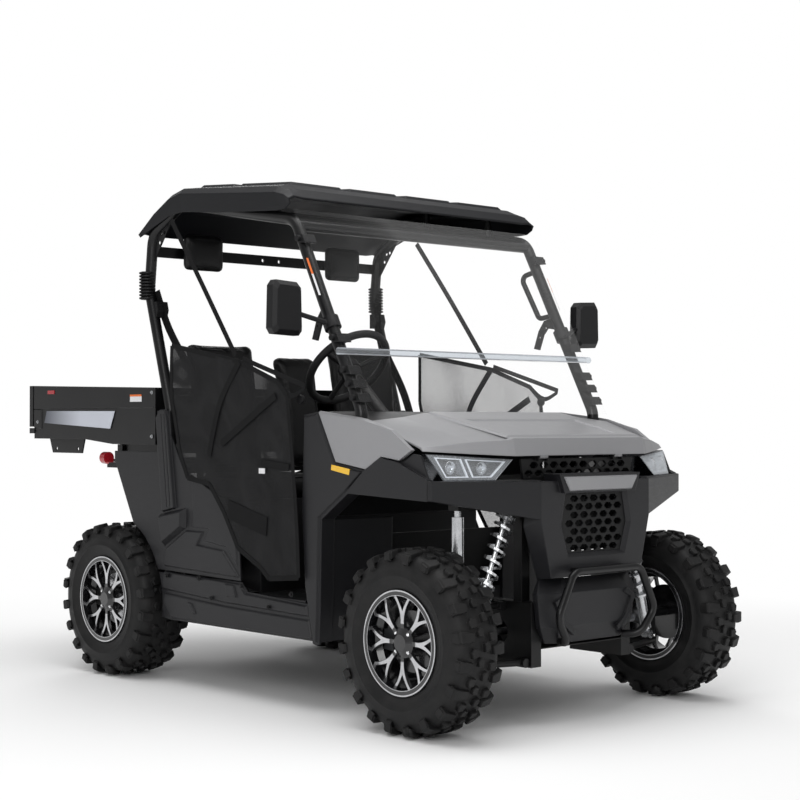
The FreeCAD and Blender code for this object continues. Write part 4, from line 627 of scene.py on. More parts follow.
def swell(pad, pressure, voxel):
    """Blows the pad up as cloth, keeps each point near its start, and rounds the result."""
    remesh = pad.modifiers.new("remesh", "REMESH")
    remesh.mode = "VOXEL"
    remesh.voxel_size = voxel
    graph = bpy.context.evaluated_depsgraph_get()
    mesh = bpy.data.meshes.new_from_object(pad.evaluated_get(graph))
    pad.modifiers.clear()
    pad.data = mesh
    start = [v.co.copy() for v in mesh.vertices]
    cloth = pad.modifiers.new("cloth", "CLOTH")
    cloth.settings.use_pressure = True
    cloth.settings.uniform_pressure_force = pressure
    cloth.settings.effector_weights.gravity = 0.0
    cloth.settings.tension_stiffness = 25
    cloth.settings.compression_stiffness = 25
    cloth.settings.quality = 4
    cloth.point_cache.frame_start = 1
    cloth.point_cache.frame_end = last_frame
    for step in range(1, last_frame + 1):
        bpy.context.scene.frame_set(step)
    graph = bpy.context.evaluated_depsgraph_get()
    blown = bpy.data.meshes.new_from_object(pad.evaluated_get(graph))
    pad.modifiers.clear()
    for vert, was in zip(blown.vertices, start):
        move = vert.co - was
        if move.length > most_swell:
            vert.co = was + move.normalized() * most_swell
    pad.data = blown
    bpy.context.scene.frame_set(1)
    for polygon in pad.data.polygons:
        polygon.use_smooth = True


def seam(name, points, radius):
    """A piped seam: a thin closed tube of vinyl along a loop of points."""
    def build(bm):
        count = len(points)
        rings = []
        for n, point in enumerate(points):
            along = (points[(n + 1) % count] - points[n - 1]).normalized()
            rings.append(round_ring(point, along, radius, 6))
        rows = [[bm.verts.new(p) for p in ring] for ring in rings]
        for n, near in enumerate(rows):
            far = rows[(n + 1) % count]
            shift = min(range(6),
                        key=lambda s: sum((near[k].co - far[(k + s) % 6].co).length for k in range(6)))
            for k in range(6):
                bm.faces.new((near[k], near[(k + 1) % 6], far[(k + 1 + shift) % 6], far[(k + shift) % 6]))
    return build_piece(name, "chassis", build, seat_vinyl, smooth=True)


def rounded_loop(half_wide, half_high, corner, per_corner=6):
    """Points round a rectangle with round corners, as (across, up)."""
    loop = []
    for quarter, (sx, sy) in enumerate(((1, 1), (-1, 1), (-1, -1), (1, -1))):
        for n in range(per_corner):
            a = math.pi / 2 * (quarter + n / (per_corner - 1))
            loop.append((sx * (half_wide - corner) + corner * math.cos(a),
                         sy * (half_high - corner) + corner * math.sin(a)))
    return loop


seat_low, seat_high = (Vector(p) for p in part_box("seat_cushions"))
back_low, back_high = (Vector(p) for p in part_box("seat_backs"))
# y of the middle, width and top of each place on the bench
places = ((-0.390, 0.366, 1.400), (0.0, 0.246, 1.355), (0.380, 0.396, 1.412))
pads = []
for number, (y, wide, top) in enumerate(places):
    cushion = padded_block("seat_cushion_%d" % number,
                           (seat_low.x, y - wide / 2, seat_low.z),
                           (seat_high.x, y + wide / 2, seat_high.z - 0.012),
                           cushion_round)
    back = padded_block("seat_back_%d" % number,
                        (back_high.x - back_thick, y - wide / 2, back_low.z),
                        (back_high.x, y + wide / 2, top), back_round, -back_lean)
    pads += [(cushion, "seat_cushions"), (back, "seat_backs")]
    front = [Vector((back_high.x - 0.016 - back_lean * ((top - back_low.z) / 2 + v), y + u,
                     (back_low.z + top) / 2 + v))
             for u, v in rounded_loop(wide / 2 - 0.036, (top - back_low.z) / 2 - 0.036, 0.05)]
    seam("seat_back_piping_%d" % number, front, piping)
    round_seat = [Vector(((seat_low.x + seat_high.x) / 2 + v, y + u, seat_high.z - 0.024))
                  for u, v in rounded_loop(wide / 2 - 0.038, (seat_high.x - seat_low.x) / 2 - 0.038, 0.05)]
    seam("seat_cushion_piping_%d" % number, round_seat, piping)
rest_low, rest_high = (Vector(p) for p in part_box("headrests"))
for side, word in ((-1, "right"), (1, "left")):
    y = side * headrest_y
    rest = padded_block("headrest_" + word, (rest_low.x, y - headrest_half, rest_low.z),
                        (rest_high.x, y + headrest_half, rest_high.z), 0.022)
    pads.append((rest, "headrests"))
    middle = [Vector((rest_high.x - 0.014, y + u, (rest_low.z + rest_high.z) / 2 + v))
              for u, v in rounded_loop(0.080, 0.056, 0.03)]
    seam("headrest_piping_" + word, middle, 0.003)
for pad, node in pads:
    swell(pad, 4.0, 0.006 if node == "headrests" else 0.009)
    smooth = pad.modifiers.new("smooth", "SUBSURF")
    smooth.levels = smooth.render_levels = 1
    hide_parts(node)


# ---- Seat belts ---------------------------------------------------------------------------------
# Black polyester webbing that runs from a retractor on each rear post down beside the seat box. Woven
# webbing is matt with a fine weave, and a ribbed rubber sleeve covers the post above each reel.

def woven(name, colour, shade, thread):
    """Woven polyester: a tight two-way weave that catches a soft sheen, drawn as coarse as it shows."""
    material, tree = new_material(name)
    place = add(tree, "ShaderNodeTexCoord").outputs["Object"]
    # a wave repeats about three times a unit, and the threads are drawn twice as coarse as they are
    weave = per_mm(thread) / 6.0
    warp = add(tree, "ShaderNodeTexWave", {"Vector": place, "Scale": weave}, bands_direction="X")
    weft = add(tree, "ShaderNodeTexWave", {"Vector": place, "Scale": weave}, bands_direction="Z")
    cross = add(tree, "ShaderNodeMath", {0: warp.outputs["Fac"], 1: weft.outputs["Fac"]}, operation="MAXIMUM")
    fade = add(tree, "ShaderNodeTexNoise", {"Vector": place, "Scale": per_mm(120), "Detail": 4.0})
    tone = add(tree, "ShaderNodeMixRGB", {0: fade.outputs["Fac"], 1: linear(colour), 2: linear(shade)})
    bump = add(tree, "ShaderNodeBump", {"Height": cross.outputs[0], "Strength": 0.35, "Distance": 0.0005})
    cloth = add(tree, "ShaderNodeBsdfPrincipled", {"Base Color": tone.outputs[0], "Roughness": 0.78,
                                                   "Specular IOR Level": 0.2, "Normal": bump.outputs[0]})
    add(tree, "ShaderNodeOutputMaterial", {"Surface": cloth.outputs[0]})
    return material


webbing = in_slot(woven("Black polyester webbing", "#0a0a0b", "#161617", 1.6), "net_fabric")


def add_strip(bm, points, wide, across, thick=0.0012):
    """A flat strap along points, with its width along one direction."""
    across = Vector(across).normalized()
    rings = []
    for n, point in enumerate(points):
        along = (points[min(n + 1, len(points) - 1)] - points[max(n - 1, 0)]).normalized()
        out = across.cross(along).normalized() * (thick / 2)
        side = across * (wide / 2)
        rings.append([point - side - out, point + side - out, point + side + out, point - side + out])
    add_rings(bm, rings)


def smooth_path(points, steps=6):
    """Points on a curve that passes through the given points."""
    path = []
    for n in range(len(points) - 1):
        p = [points[max(n - 1, 0)], points[n], points[n + 1], points[min(n + 2, len(points) - 1)]]
        for k in range(steps):
            t = k / steps
            slope = (p[2] - p[0]) * t
            bend = (2 * p[0] - 5 * p[1] + 4 * p[2] - p[3]) * t ** 2
            twist = (3 * p[1] - p[0] - 3 * p[2] + p[3]) * t ** 3
            path.append(0.5 * (2 * p[1] + slope + bend + twist))
    return path + [points[-1]]


post_x = rear_x + 0.211
belt_width = 0.046
sleeve_ribs = 9
sleeve_pitch = 0.013
for side, word in ((-1, "right"), (1, "left")):
    anchor = Vector((post_x + 0.035, side * (cage_y - 0.02), 1.60))

    def build_belt(bm):
        add_strip(bm, smooth_path([anchor, anchor + Vector((0.05, -side * 0.03, -0.16)),
                                   Vector((back_high.x - 0.02, side * 0.565, 1.18)),
                                   Vector((back_high.x + 0.03, side * 0.588, 0.96)),
                                   Vector((back_high.x + 0.02, side * 0.592, 0.80))]), belt_width,
                  (1, 0, 0.25))
    build_piece("belt_webbing_" + word, "chassis", build_belt, webbing)

    def build_retractor(bm):
        for n in range(sleeve_ribs):
            z = 1.565 + n * sleeve_pitch
            add_turned(bm, Vector((post_x - 0.012 * (z - 1.5), side * cage_y, z)), Vector((0, 0, 1)),
                       [(0, 0.026), (0.003, 0.034), (0.009, 0.034), (0.012, 0.026)], 20)
        reel = [(0.022, -0.03), (0.06, -0.03), (0.07, 0.0), (0.06, 0.035), (0.022, 0.035)]
        add_rings(bm, [[Vector((post_x + x, side * (cage_y - 0.03) + dy, 1.52 + z)) for x, z in reel]
                       for dy in (-0.028, 0.028)])
    build_piece("belt_retractor_" + word, "chassis", build_retractor, black_moulding)


# ---- Hood and nose plate ------------------------------------------------------------------------
# Two moulded hood panels and the plate on the nose, sprayed satin silver grey over plastic. The
# paint has a fine metal flake under a thin lacquer, and the edges are softly rounded.

def flake_paint(name, colour, shade, roughness):
    """Satin metallic paint: metal flake in a grey base, faint orange peel, a thin clear lacquer."""
    material, tree = new_material(name)
    place = add(tree, "ShaderNodeTexCoord").outputs["Object"]
    slow = add(tree, "ShaderNodeTexNoise", {"Vector": place, "Scale": per_mm(300), "Detail": 3.0})
    tone = add(tree, "ShaderNodeMixRGB", {0: slow.outputs["Fac"], 1: linear(colour), 2: linear(shade)})
    # real flake is finer than 0.9 mm, and is drawn so coarse that it shows
    flake = add(tree, "ShaderNodeTexNoise", {"Vector": place, "Scale": per_mm(0.9), "Detail": 1.0})
    spark = add(tree, "ShaderNodeMixRGB", {0: 0.12, 1: tone.outputs[0], 2: flake.outputs["Color"]},
                blend_type="OVERLAY")
    dust = add(tree, "ShaderNodeTexNoise", {"Vector": place, "Scale": per_mm(40), "Detail": 7.0})
    rough = add(tree, "ShaderNodeMapRange", {"Value": dust.outputs["Fac"], "To Min": roughness - 0.06,
                                             "To Max": roughness + 0.08})
    edge = add(tree, "ShaderNodeBevel", {"Radius": 0.006}, samples=4)
    peel = add(tree, "ShaderNodeTexNoise", {"Vector": place, "Scale": per_mm(5), "Detail": 2.0})
    bump = add(tree, "ShaderNodeBump", {"Height": peel.outputs["Fac"], "Strength": 0.05, "Distance": 0.0004,
                                        "Normal": edge.outputs[0]})
    paint = add(tree, "ShaderNodeBsdfPrincipled", {"Base Color": spark.outputs[0], "Metallic": 0.1,
                                                   "Roughness": rough.outputs[0], "Coat Weight": 0.35,
                                                   "Coat Roughness": 0.3, "Normal": bump.outputs[0]})
    add(tree, "ShaderNodeOutputMaterial", {"Surface": paint.outputs[0]})
    return material


silver_paint = flake_paint("Satin silver-grey paint", "#939395", "#8b8b8e", 0.40)
finish(silver_paint, "hood", "hood_wings", "nose_plate")


# ---- Body panels --------------------------------------------------------------------------------
# Bumper, fenders, cowl, rockers and rear panels are charcoal polypropylene, moulded in colour, held
# with black push rivets and screws. The grilles are black, and the strip's cells are left open.

charcoal = moulded("Charcoal polypropylene", "#1a1a1d", "#131316", "#333335", 1.2, 0.42, 0.3, 0.006, 0.4)
finish(charcoal, "cowl_panels", "front_fenders", "front_bumper", "bash_plate", "rocker_panels",
       "rear_side_panels")
finish(moulded("Grille black", "#0a0a0b", "#121213", "#242425", 1.2, 0.5), "grilles")

rivets = [Vector((rear_x + x, -0.664, z))
          for x, z in ((0.62, 0.445), (0.90, 0.435), (1.20, 0.425), (0.40, 0.44))]
bolt_heads("rocker_rivets", "chassis", rivets, Vector((0, -1, 0)), 0.011, black_moulding)


# ---- Lamps and reflectors -----------------------------------------------------------------------
# Each headlamp is a chromed bowl housing behind a clear polycarbonate lens, with a white light guide
# round the bowls. Tail lamps and side markers are red lenses, and the cowl has an amber reflector.

def glass(name, tint, least, most, roughness):
    """Clear moulded lens: mostly seen through, with a bright skin at grazing angles."""
    material, tree = new_material(name)
    place = add(tree, "ShaderNodeTexCoord").outputs["Object"]
    smear = add(tree, "ShaderNodeTexNoise", {"Vector": place, "Scale": per_mm(70), "Detail": 6.0})
    rough = add(tree, "ShaderNodeMapRange", {"Value": smear.outputs["Fac"], "To Min": roughness * 0.5,
                                             "To Max": roughness * 1.6})
    ripple = add(tree, "ShaderNodeBump", {"Height": smear.outputs["Fac"], "Strength": 0.01,
                                          "Distance": 0.0002})
    skin = add(tree, "ShaderNodeBsdfPrincipled", {"Base Color": linear(tint), "Roughness": rough.outputs[0],
                                                  "IOR": 1.5, "Normal": ripple.outputs[0]})
    through = add(tree, "ShaderNodeBsdfTransparent", {"Color": linear(tint)})
    rim = add(tree, "ShaderNodeLayerWeight", {"Blend": 0.2})
    share = add(tree, "ShaderNodeMapRange", {"Value": rim.outputs["Fresnel"], "To Min": least,
                                             "To Max": most})
    mixed = add(tree, "ShaderNodeMixShader", {0: share.outputs[0], 1: through.outputs[0], 2: skin.outputs[0]})
    add(tree, "ShaderNodeOutputMaterial", {"Surface": mixed.outputs[0]})
    return material


def lens(name, colour, deep, pitch):
    """A coloured moulded lens with a fine prism grid, a glossy skin and a faint painted glow."""
    material, tree = new_material(name)
    place = add(tree, "ShaderNodeTexCoord").outputs["Object"]
    grid = add(tree, "ShaderNodeTexVoronoi", {"Vector": place, "Scale": per_mm(pitch), "Randomness": 0.0})
    tone = add(tree, "ShaderNodeMixRGB", {0: grid.outputs["Distance"], 1: linear(colour), 2: linear(deep)})
    bump = add(tree, "ShaderNodeBump", {"Height": grid.outputs["Distance"], "Strength": 0.5,
                                        "Distance": 0.001})
    # the weak emission in the lens's own colour is a painted glow: no lamp is lit behind these lenses
    skin = add(tree, "ShaderNodeBsdfPrincipled", {"Base Color": tone.outputs[0], "Roughness": 0.15,
                                                  "Coat Weight": 0.6, "Normal": bump.outputs[0],
                                                  "Emission Color": tone.outputs[0],
                                                  "Emission Strength": 0.12})
    add(tree, "ShaderNodeOutputMaterial", {"Surface": skin.outputs[0]})
    return material


lamp_chrome = chrome("Chromed lamp housing", 0.2, "#5c5e62", "#8a8c90")
red_lens = in_slot(lens("Red lens", "#c02430", "#7a1018", 4.0), "lamp_red")
amber_lens = in_slot(lens("Amber reflector", "#f2c320", "#c8920a", 4.0), "lamp_glass")
clear_lens = in_slot(glass("Clear lamp lens", "#f4f6f8", 0.10, 0.6, 0.05), "lamp_glass")
guide = in_slot(lens("White light guide", "#f2f3f5", "#d8dadf", 3.0), "lamp_glass")
lamp_black = in_slot(moulded("Lamp bezel black", "#141416", "#1b1b1e", "#2c2c2e", 1.2, 0.35),
                     "charcoal_plastic")
finish(lamp_chrome, "headlamps")
finish(red_lens, "tail_lamps")


def on_lamp(y, z, depth, side):
    """A point on the headlamp's slanted front, at a depth behind it."""
    return Vector((front_x + 0.142 - 0.40 * (y - 0.34) - 0.45 * (z - 0.938) - depth, side * y, z))


def prism(bm, front_points, back_points):
    """A solid between two matching loops of points."""
    add_rings(bm, [front_points, back_points])


def inset(points, amount):
    """A polygon drawn in toward its middle by a share of its size."""
    middle = [sum(p[n] for p in points) / len(points) for n in (0, 1)]
    return [(middle[0] + (y - middle[0]) * amount, middle[1] + (z - middle[1]) * amount) for y, z in points]


lamp_outline = [(0.634, 0.947), (0.345, 0.929), (0.427, 0.861), (0.602, 0.861)]
bowls = ([(0.610, 0.938), (0.522, 0.932), (0.516, 0.870), (0.592, 0.870)],
         [(0.508, 0.931), (0.372, 0.922), (0.436, 0.870), (0.502, 0.870)])
dish_profile = [(0, 0.006), (0.004, 0.012), (0.010, 0.019), (0.020, 0.024), (0.022, 0.024), (0.012, 0.017),
                (0.006, 0.010)]
bulb_profile = [(0.0, 0.005), (0.012, 0.005), (0.015, 0.003)]
for side, word in ((-1, "right"), (1, "left")):
    def build_lens(bm):
        prism(bm, [on_lamp(y, z, -0.0035, side) for y, z in lamp_outline],
              [on_lamp(y, z, -0.0015, side) for y, z in lamp_outline])
    cover = build_piece("headlamp_lens_" + word, "chassis", build_lens, clear_lens)
    cover.visible_shadow = False

    def build_guides(bm):
        for bowl in bowls:
            outer, inner = inset(bowl, 1.02), inset(bowl, 0.90)
            for n in range(4):
                m = (n + 1) % 4
                loop = [outer[n], outer[m], inner[m], inner[n]]
                prism(bm, [on_lamp(y, z, -0.0012, side) for y, z in loop],
                      [on_lamp(y, z, 0.004, side) for y, z in loop])
    build_piece("headlamp_guide_" + word, "chassis", build_guides, guide)

    def build_bowls(bm):
        for bowl in bowls:
            middle_y, middle_z = inset(bowl, 0.0)[0]
            centre = on_lamp(middle_y, middle_z, 0.030, side)
            add_turned(bm, centre, Vector((1, 0, 0)), dish_profile, 24)
            add_turned(bm, centre, Vector((1, 0, 0)), bulb_profile, 12)
    build_piece("headlamp_bowls_" + word, "chassis", build_bowls, bright_chrome, smooth=True)

    def build_reflector(bm):
        loop = [(1.427, 0.906), (1.526, 0.892), (1.522, 0.871), (1.424, 0.887)]
        prism(bm, [Vector((rear_x + x, side * 0.6635, z)) for x, z in loop],
              [Vector((rear_x + x, side * 0.660, z)) for x, z in loop])
    build_piece("cowl_reflector_" + word, "chassis", build_reflector, amber_lens)
    tail_y = (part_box("tail_lamps")[1].y - 0.026) * side
    bolt_heads("tail_lamp_rims_" + word, "chassis", [Vector((rear_x - 0.165, tail_y, 0.905))],
               Vector((-1, 0, 0)), 0.012, lamp_black)


# ---- Roof and windscreen ------------------------------------------------------------------------
# A twin-shell moulded roof, black with a smooth satin top. The windscreen is two sheets of clear
# polycarbonate that fold on a bright hinge strip, held to the pillars by clamps with hand knobs.

finish(moulded("Satin black roof", "#06070b", "#0b0c12", "#1c1d22", 2.2, 0.46, 0.08, 0.008, 0.3), "roof")
polycarbonate = glass("Clear polycarbonate", "#ffffff", 0.0, 0.07, 0.02)
hinge_strip = glass("Hinge strip", "#eceff2", 0.12, 0.5, 0.12)
finish(polycarbonate, "windscreen")
finish(hinge_strip, "fold_rail")
for name in ("windscreen", "fold_rail"):
    bpy.data.objects[name].visible_shadow = False
fold_low, fold_high = (Vector(p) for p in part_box("fold_rail"))


def build_fold(bm):
    middle = (fold_low + fold_high) / 2
    for dz in (-0.011, 0.011):
        rows = [round_ring(Vector((middle.x - dz * 0.5, y, middle.z + dz)), Vector((0, 1, 0)), 0.0022, 8)
                for y in (fold_low.y + 0.02, fold_high.y - 0.02)]
        add_rings(bm, rows)


build_piece("fold_strip_edges", "chassis", build_fold, bright_chrome)


# ---- Mirrors ------------------------------------------------------------------------------------
# A black moulded shell on a bent arm, clamped to the front pillar, with a convex glass set in its
# rear face. The glass is bright, with a thin black lip round it.

finish(moulded("Mirror shell black", "#0e0e10", "#161618", "#2e2e30", 1.2, 0.40), "mirrors")
silvered = in_slot(chrome("Silvered mirror glass", 0.02), "bare_metal")
mirror_low = Vector(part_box("mirrors")[0])
mirror_y, mirror_z = 0.807, 1.466
mirror_outline = [(0.742, 1.392), (0.755, 1.378), (0.858, 1.381), (0.869, 1.397), (0.865, 1.539),
                  (0.852, 1.555), (0.766, 1.551), (0.748, 1.534)]
for side, word in ((-1, "right"), (1, "left")):
    def build_glass(bm):
        glass_edge = [(mirror_y + (y - mirror_y) * 0.84, mirror_z + (z - mirror_z) * 0.86)
                      for y, z in mirror_outline]
        prism(bm, [Vector((mirror_low.x - 0.0004, side * y, z)) for y, z in glass_edge],
              [Vector((mirror_low.x + 0.002, side * y, z)) for y, z in glass_edge])
    build_piece("mirror_glass_" + word, "chassis", build_glass, silvered)


# ---- Cargo bed ----------------------------------------------------------------------------------
# Pressed steel sheet, folded, welded and powder coated black. A silver stripe fades along each side,
# with a red marker lens at the rear top corner and blank labels near the front.

bed_black = powder_coat("Bed black powder coat", "#08080a", "#161616", 0.34)
finish(bed_black, "bed", "tailgate")


def stripe_finish():
    """A silver film stripe that fades along its length from mid grey at the tail to pale silver."""
    material, tree = new_material("Silver stripe film")
    place = add(tree, "ShaderNodeTexCoord").outputs["Object"]
    split = add(tree, "ShaderNodeSeparateXYZ", {0: place})
    along = add(tree, "ShaderNodeMapRange", {"Value": split.outputs["X"], "From Min": rear_x - 0.55,
                                             "From Max": rear_x - 0.26})
    grain = add(tree, "ShaderNodeTexNoise", {"Vector": place, "Scale": per_mm(3), "Detail": 4.0})
    tone = add(tree, "ShaderNodeMixRGB", {0: along.outputs[0], 1: linear("#5c5f68"), 2: linear("#ccd0da")})
    speck = add(tree, "ShaderNodeMixRGB", {0: 0.08, 1: tone.outputs[0], 2: grain.outputs["Color"]},
                blend_type="OVERLAY")
    film = add(tree, "ShaderNodeBsdfPrincipled", {"Base Color": speck.outputs[0], "Metallic": 0.2,
                                                  "Roughness": 0.38})
    add(tree, "ShaderNodeOutputMaterial", {"Surface": film.outputs[0]})
    return material


def printed(name, colour, shade):
    """A printed vinyl label with nothing on it, faintly mottled and a little glossy."""
    material, tree = new_material(name)
    place = add(tree, "ShaderNodeTexCoord").outputs["Object"]
    mottle = add(tree, "ShaderNodeTexNoise", {"Vector": place, "Scale": per_mm(18), "Detail": 5.0})
    tone = add(tree, "ShaderNodeMixRGB", {0: mottle.outputs["Fac"], 1: linear(colour), 2: linear(shade)})
    bump = add(tree, "ShaderNodeBump", {"Height": mottle.outputs["Fac"], "Strength": 0.08,
                                        "Distance": 0.0004})
    vinyl = add(tree, "ShaderNodeBsdfPrincipled", {"Base Color": tone.outputs[0], "Roughness": 0.38,
                                                   "Normal": bump.outputs[0]})
    add(tree, "ShaderNodeOutputMaterial", {"Surface": vinyl.outputs[0]})
    return material


def film_patch(name, body, y, points, material, thick=0.0008):
    """A thin flat film on a side face, given as (x, z) from the rear axle."""
    def build(bm):
        out = math.copysign(thick, y)
        prism(bm, [Vector((rear_x + x, y + out, z)) for x, z in points],
              [Vector((rear_x + x, y - out, z)) for x, z in points])
    return build_piece(name, body, build, material)


white_label = in_slot(printed("White label", "#e9e9ea", "#dcdcde"), "silver_plastic")
orange_label = in_slot(printed("Orange label", "#e8742c", "#d8651f"), "silver_plastic")
stripe = in_slot(stripe_finish(), "silver_plastic")
bed_high = Vector(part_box("bed")[1])
for side, word in ((-1, "right"), (1, "left")):
    film_patch("bed_stripe_" + word, "bed", side * (bed_high.y - 0.0002),
               [(-0.54, 1.108), (0.011, 1.105), (-0.025, 1.031), (-0.560, 1.055)], stripe)
    film_patch("bed_marker_" + word, "bed", side * (bed_high.y + 0.001),
               [(-0.530, 1.199), (-0.475, 1.199), (-0.475, 1.183), (-0.530, 1.183)], red_lens, 0.002)
    film_patch("bed_label_" + word, "bed", side * (bed_high.y - 0.0002),
               [(0.127, 1.173), (0.212, 1.173), (0.212, 1.143), (0.127, 1.143)], white_label)
    film_patch("bed_label_band_" + word, "bed", side * (bed_high.y + 0.0004),
               [(0.127, 1.173), (0.212, 1.173), (0.212, 1.165), (0.127, 1.165)], orange_label)


# ---- Side nets ----------------------------------------------------------------------------------
# Black polyester mesh cut to the doorway, bound with black webbing, and drawn tight by straps to the
# cage and the front pillar. The mesh lets light through. The left net is the same mesh painted lighter
# and left more open: painted light, for how it shows pale against the bright studio behind it.

def mesh_cloth(name, colour, shade, see):
    """An open knitted mesh: dark threads round small holes, so that it shows pale against the light."""
    material, tree = new_material(name)
    place = add(tree, "ShaderNodeTexCoord").outputs["Object"]
    holes = add(tree, "ShaderNodeTexVoronoi", {"Vector": place, "Scale": per_mm(3.2), "Randomness": 0.15})
    fade = add(tree, "ShaderNodeTexNoise", {"Vector": place, "Scale": per_mm(140), "Detail": 4.0})
    tone = add(tree, "ShaderNodeMixRGB", {0: fade.outputs["Fac"], 1: linear(colour), 2: linear(shade)})
    bump = add(tree, "ShaderNodeBump", {"Height": holes.outputs["Distance"], "Strength": 0.5,
                                        "Distance": 0.0008})
    thread = add(tree, "ShaderNodeBsdfPrincipled", {"Base Color": tone.outputs[0], "Roughness": 0.62,
                                                    "Specular IOR Level": 0.25, "Normal": bump.outputs[0]})
    gap = add(tree, "ShaderNodeBsdfTransparent")
    open_share = add(tree, "ShaderNodeMath", {0: holes.outputs["Distance"], 1: 0.42}, operation="LESS_THAN")
    share = add(tree, "ShaderNodeMath", {0: open_share.outputs[0], 1: see}, operation="MULTIPLY")
    mixed = add(tree, "ShaderNodeMixShader", {0: share.outputs[0], 1: thread.outputs[0], 2: gap.outputs[0]})
    add(tree, "ShaderNodeOutputMaterial", {"Surface": mixed.outputs[0]})
    return material


net_outline = [(0.456, 1.365), (0.907, 1.288), (1.139, 1.208), (1.199, 1.155), (1.246, 0.774), (1.263, 0.491),
               (1.092, 0.476), (1.044, 0.513), (0.895, 0.580), (0.805, 0.713), (0.714, 0.818), (0.567, 0.838),
               (0.512, 0.948), (0.456, 1.148)]
net_mesh = in_slot(mesh_cloth("Black knitted mesh", "#0b0b0c", "#151517", 0.10), "net_fabric")
# the left net's mesh is the same real mesh as the right's, painted lighter and left more open: painted light
far_mesh_painted_lighter = in_slot(mesh_cloth("Black knitted mesh, light behind", "#202126", "#2a2b31", 0.8), "net_fabric")
net_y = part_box("side_nets")[1].y - 0.0015
net_grid = 0.014
binding_width = 0.019
fold_seeds = [(3.1, 0.4, 0.0), (7.9, 2.3, 1.1), (1.7, 9.3, 2.0), (12.0, 5.0, 0.6)]


def net_fold(x, z):
    """How far the mesh stands out from its flat plane at a point of the net."""
    soft = sum(math.sin(a * x * 2 + b * z * 2 + c) for a, b, c in fold_seeds) / 4
    fan = math.sin(26 * (z - 1.0) * (1.3 - x) + 5 * x)
    return 0.0045 * soft + 0.0012 * fan


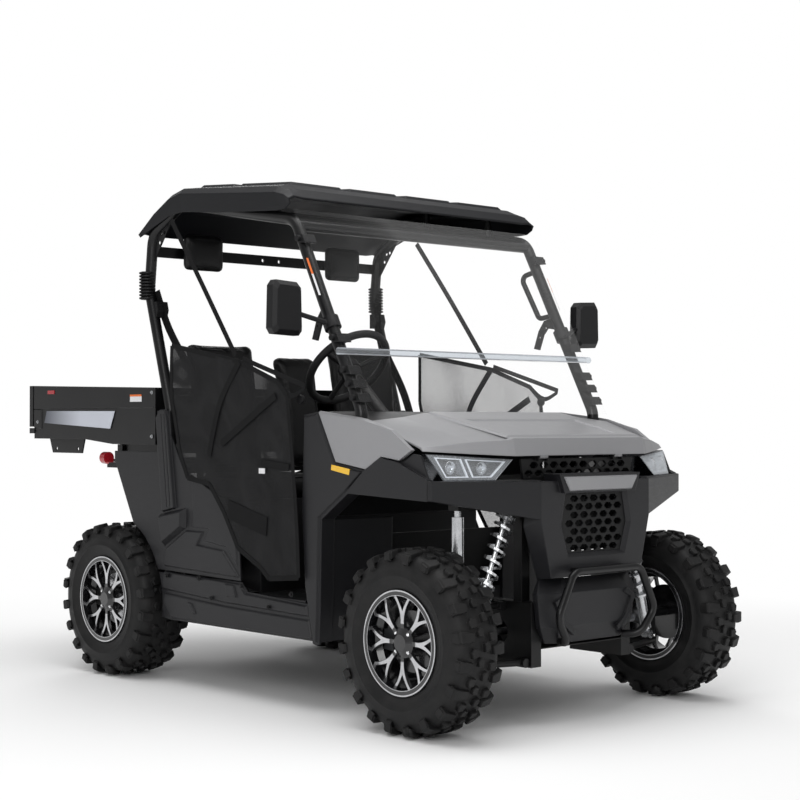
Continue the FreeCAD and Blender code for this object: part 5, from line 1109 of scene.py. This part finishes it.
for side, word in ((-1, "right"), (1, "left")):
    def net_point(x, z, out=0.0):
        return Vector((rear_x + x, side * (net_y + net_fold(x, z) * (0.8 if side < 0 else 0.15) + out), z))

    def build_net(bm):
        bm.faces.new([bm.verts.new((x, 0.0, z)) for x, z in net_outline])
        for axis, first, last in ((0, 0.456, 1.263), (2, 0.476, 1.365)):
            count = int((last - first) / net_grid)
            for n in range(1, count):
                spot = [0.0, 0.0, 0.0]
                spot[axis] = first + (last - first) * n / count
                normal = [0.0, 0.0, 0.0]
                normal[axis] = 1.0
                bmesh.ops.bisect_plane(bm, geom=bm.verts[:] + bm.edges[:] + bm.faces[:], plane_co=spot,
                                       plane_no=normal)
        for vert in bm.verts:
            vert.co = net_point(vert.co.x, vert.co.z)
    # the right net gets the dark mesh, the left net the copy painted lighter for the light behind it
    net = build_piece("side_net_" + word, "chassis", build_net, net_mesh if side < 0 else far_mesh_painted_lighter,
                      smooth=True)
    net.visible_shadow = side < 0

    def net_strap(name, points, wide, across, out, material=webbing):
        path = smooth_path([net_point(x, z, out) for x, z in points], 5)
        build_piece("net_%s_%s" % (name, word), "chassis",
                                     lambda bm: add_strip(bm, path, wide, across), material)

    edge_loop = net_outline + net_outline[:1]
    for number, (start, end) in enumerate(zip(edge_loop, edge_loop[1:])):
        across = (start[1] - end[1], 0.0, end[0] - start[0])
        middle = ((start[0] + end[0]) / 2, (start[1] + end[1]) / 2)
        net_strap("binding_%d" % number, [start, middle, end], binding_width, across, 0.0012)
    net_strap("strap_a", [(0.907, 1.288), (0.792, 1.145), (0.740, 1.029), (0.714, 0.927)], 0.028,
              (0.8, 0, -0.5), 0.004)
    net_strap("strap_b", [(0.792, 0.975), (0.96, 1.064), (1.134, 1.156)], 0.028, (-0.45, 0, 0.85), 0.005)
    net_strap("strap_c", [(1.043, 0.906), (1.211, 0.891)], 0.026, (0.09, 0, 1.0), 0.004)
    net_strap("pillar_strap_low", [(1.139, 1.208), (1.22, 1.155), (1.30, 1.184)], 0.02, (0.3, 0, 1.0), 0.0)
    net_strap("pillar_strap_high", [(0.924, 1.300), (1.12, 1.243), (1.30, 1.190)], 0.018, (0.3, 0, 1.0), 0.0)
    hanger = [Vector((rear_x + 0.882, side * (net_y + 0.001), 1.312)),
              Vector((rear_x + 0.660, side * (net_y - 0.001), 1.60)),
              Vector((rear_x + 0.442, side * (net_y - 0.006), 1.872))]
    build_piece("net_top_strap_" + word, "chassis",
                                 lambda bm: add_strip(bm, smooth_path(hanger, 5), 0.024, (0.8, 0, 0.6)),
                                 webbing)
    net_strap("tag", [(1.035, 0.876), (1.070, 0.876)], 0.020, (0, 0, 1), 0.006, white_label)
    net_strap("patch", [(0.835, 0.725), (1.08, 0.668)], 0.072, (0.1, 0, 1.0), 0.003)
    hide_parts("side_nets")


# ---- Small fittings -----------------------------------------------------------------------------
# Black push clips along the sills, zinc bolts on the bed, a latch plate by the dash, and small blank
# strips on the front pillars where the real vehicle carries its labels.

# x and z of the sill's clips and the bed's bolts, from the rear axle
clips = [(0.317, 0.376), (0.70, 0.372), (1.06, 0.366)]
bed_bolts = [(0.285, 1.18), (0.285, 1.0), (-0.62, 1.06)]
for side, word in ((-1, "right"), (1, "left")):
    bolt_heads("panel_clips_" + word, "chassis",
               [Vector((rear_x + x, side * (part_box("rocker_panels")[1].y - 0.001), z)) for x, z in clips],
               Vector((0, side, 0)), 0.009, black_moulding)
    bolt_heads("bed_bolts_" + word, "bed",
               [Vector((rear_x + x, side * (bed_high.y - 0.001), z)) for x, z in bed_bolts],
               Vector((0, side, 0)), 0.008, zinc)
    # the latch plate on the side of the dash
    latch = Vector((rear_x + 1.235, side * 0.642, 1.142))

    def build_latch(bm):
        add_turned(bm, latch, Vector((0, side, 0)), [(0, 0.016), (0.006, 0.018), (0.013, 0.016)], 20)
    build_piece("net_latch_" + word, "chassis", build_latch, black_moulding)


def pillar_x(z):
    """X of the front pillar's axis at a height."""
    low, high = (Vector(p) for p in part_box("windscreen"))
    return high.x - 0.045 + (z - low.z) * (low.x + 0.005 - high.x) / (high.z - low.z)


# a strip's section, as (x, y) from the pillar's axis, and its foot, top and colour
strip_corners = ((0.014, 0.0185), (0.0195, 0.0135), (0.0188, 0.0125), (0.013, 0.0178))
strips = ((1.60, 1.66, orange_label), (1.52, 1.60, white_label))
for side, word in ((-1, "right"), (1, "left")):
    for number, (z0, z1, paint) in enumerate(strips):
        def build_strip(bm):
            rows = []
            for z in (z0, z1):
                rows.append([Vector((pillar_x(z) + 0.001 + dx, side * (cage_y + dy), z))
                             for dx, dy in strip_corners])
            add_rings(bm, rows)
        build_piece("pillar_strip_%d_%s" % (number, word), "chassis", build_strip, paint)
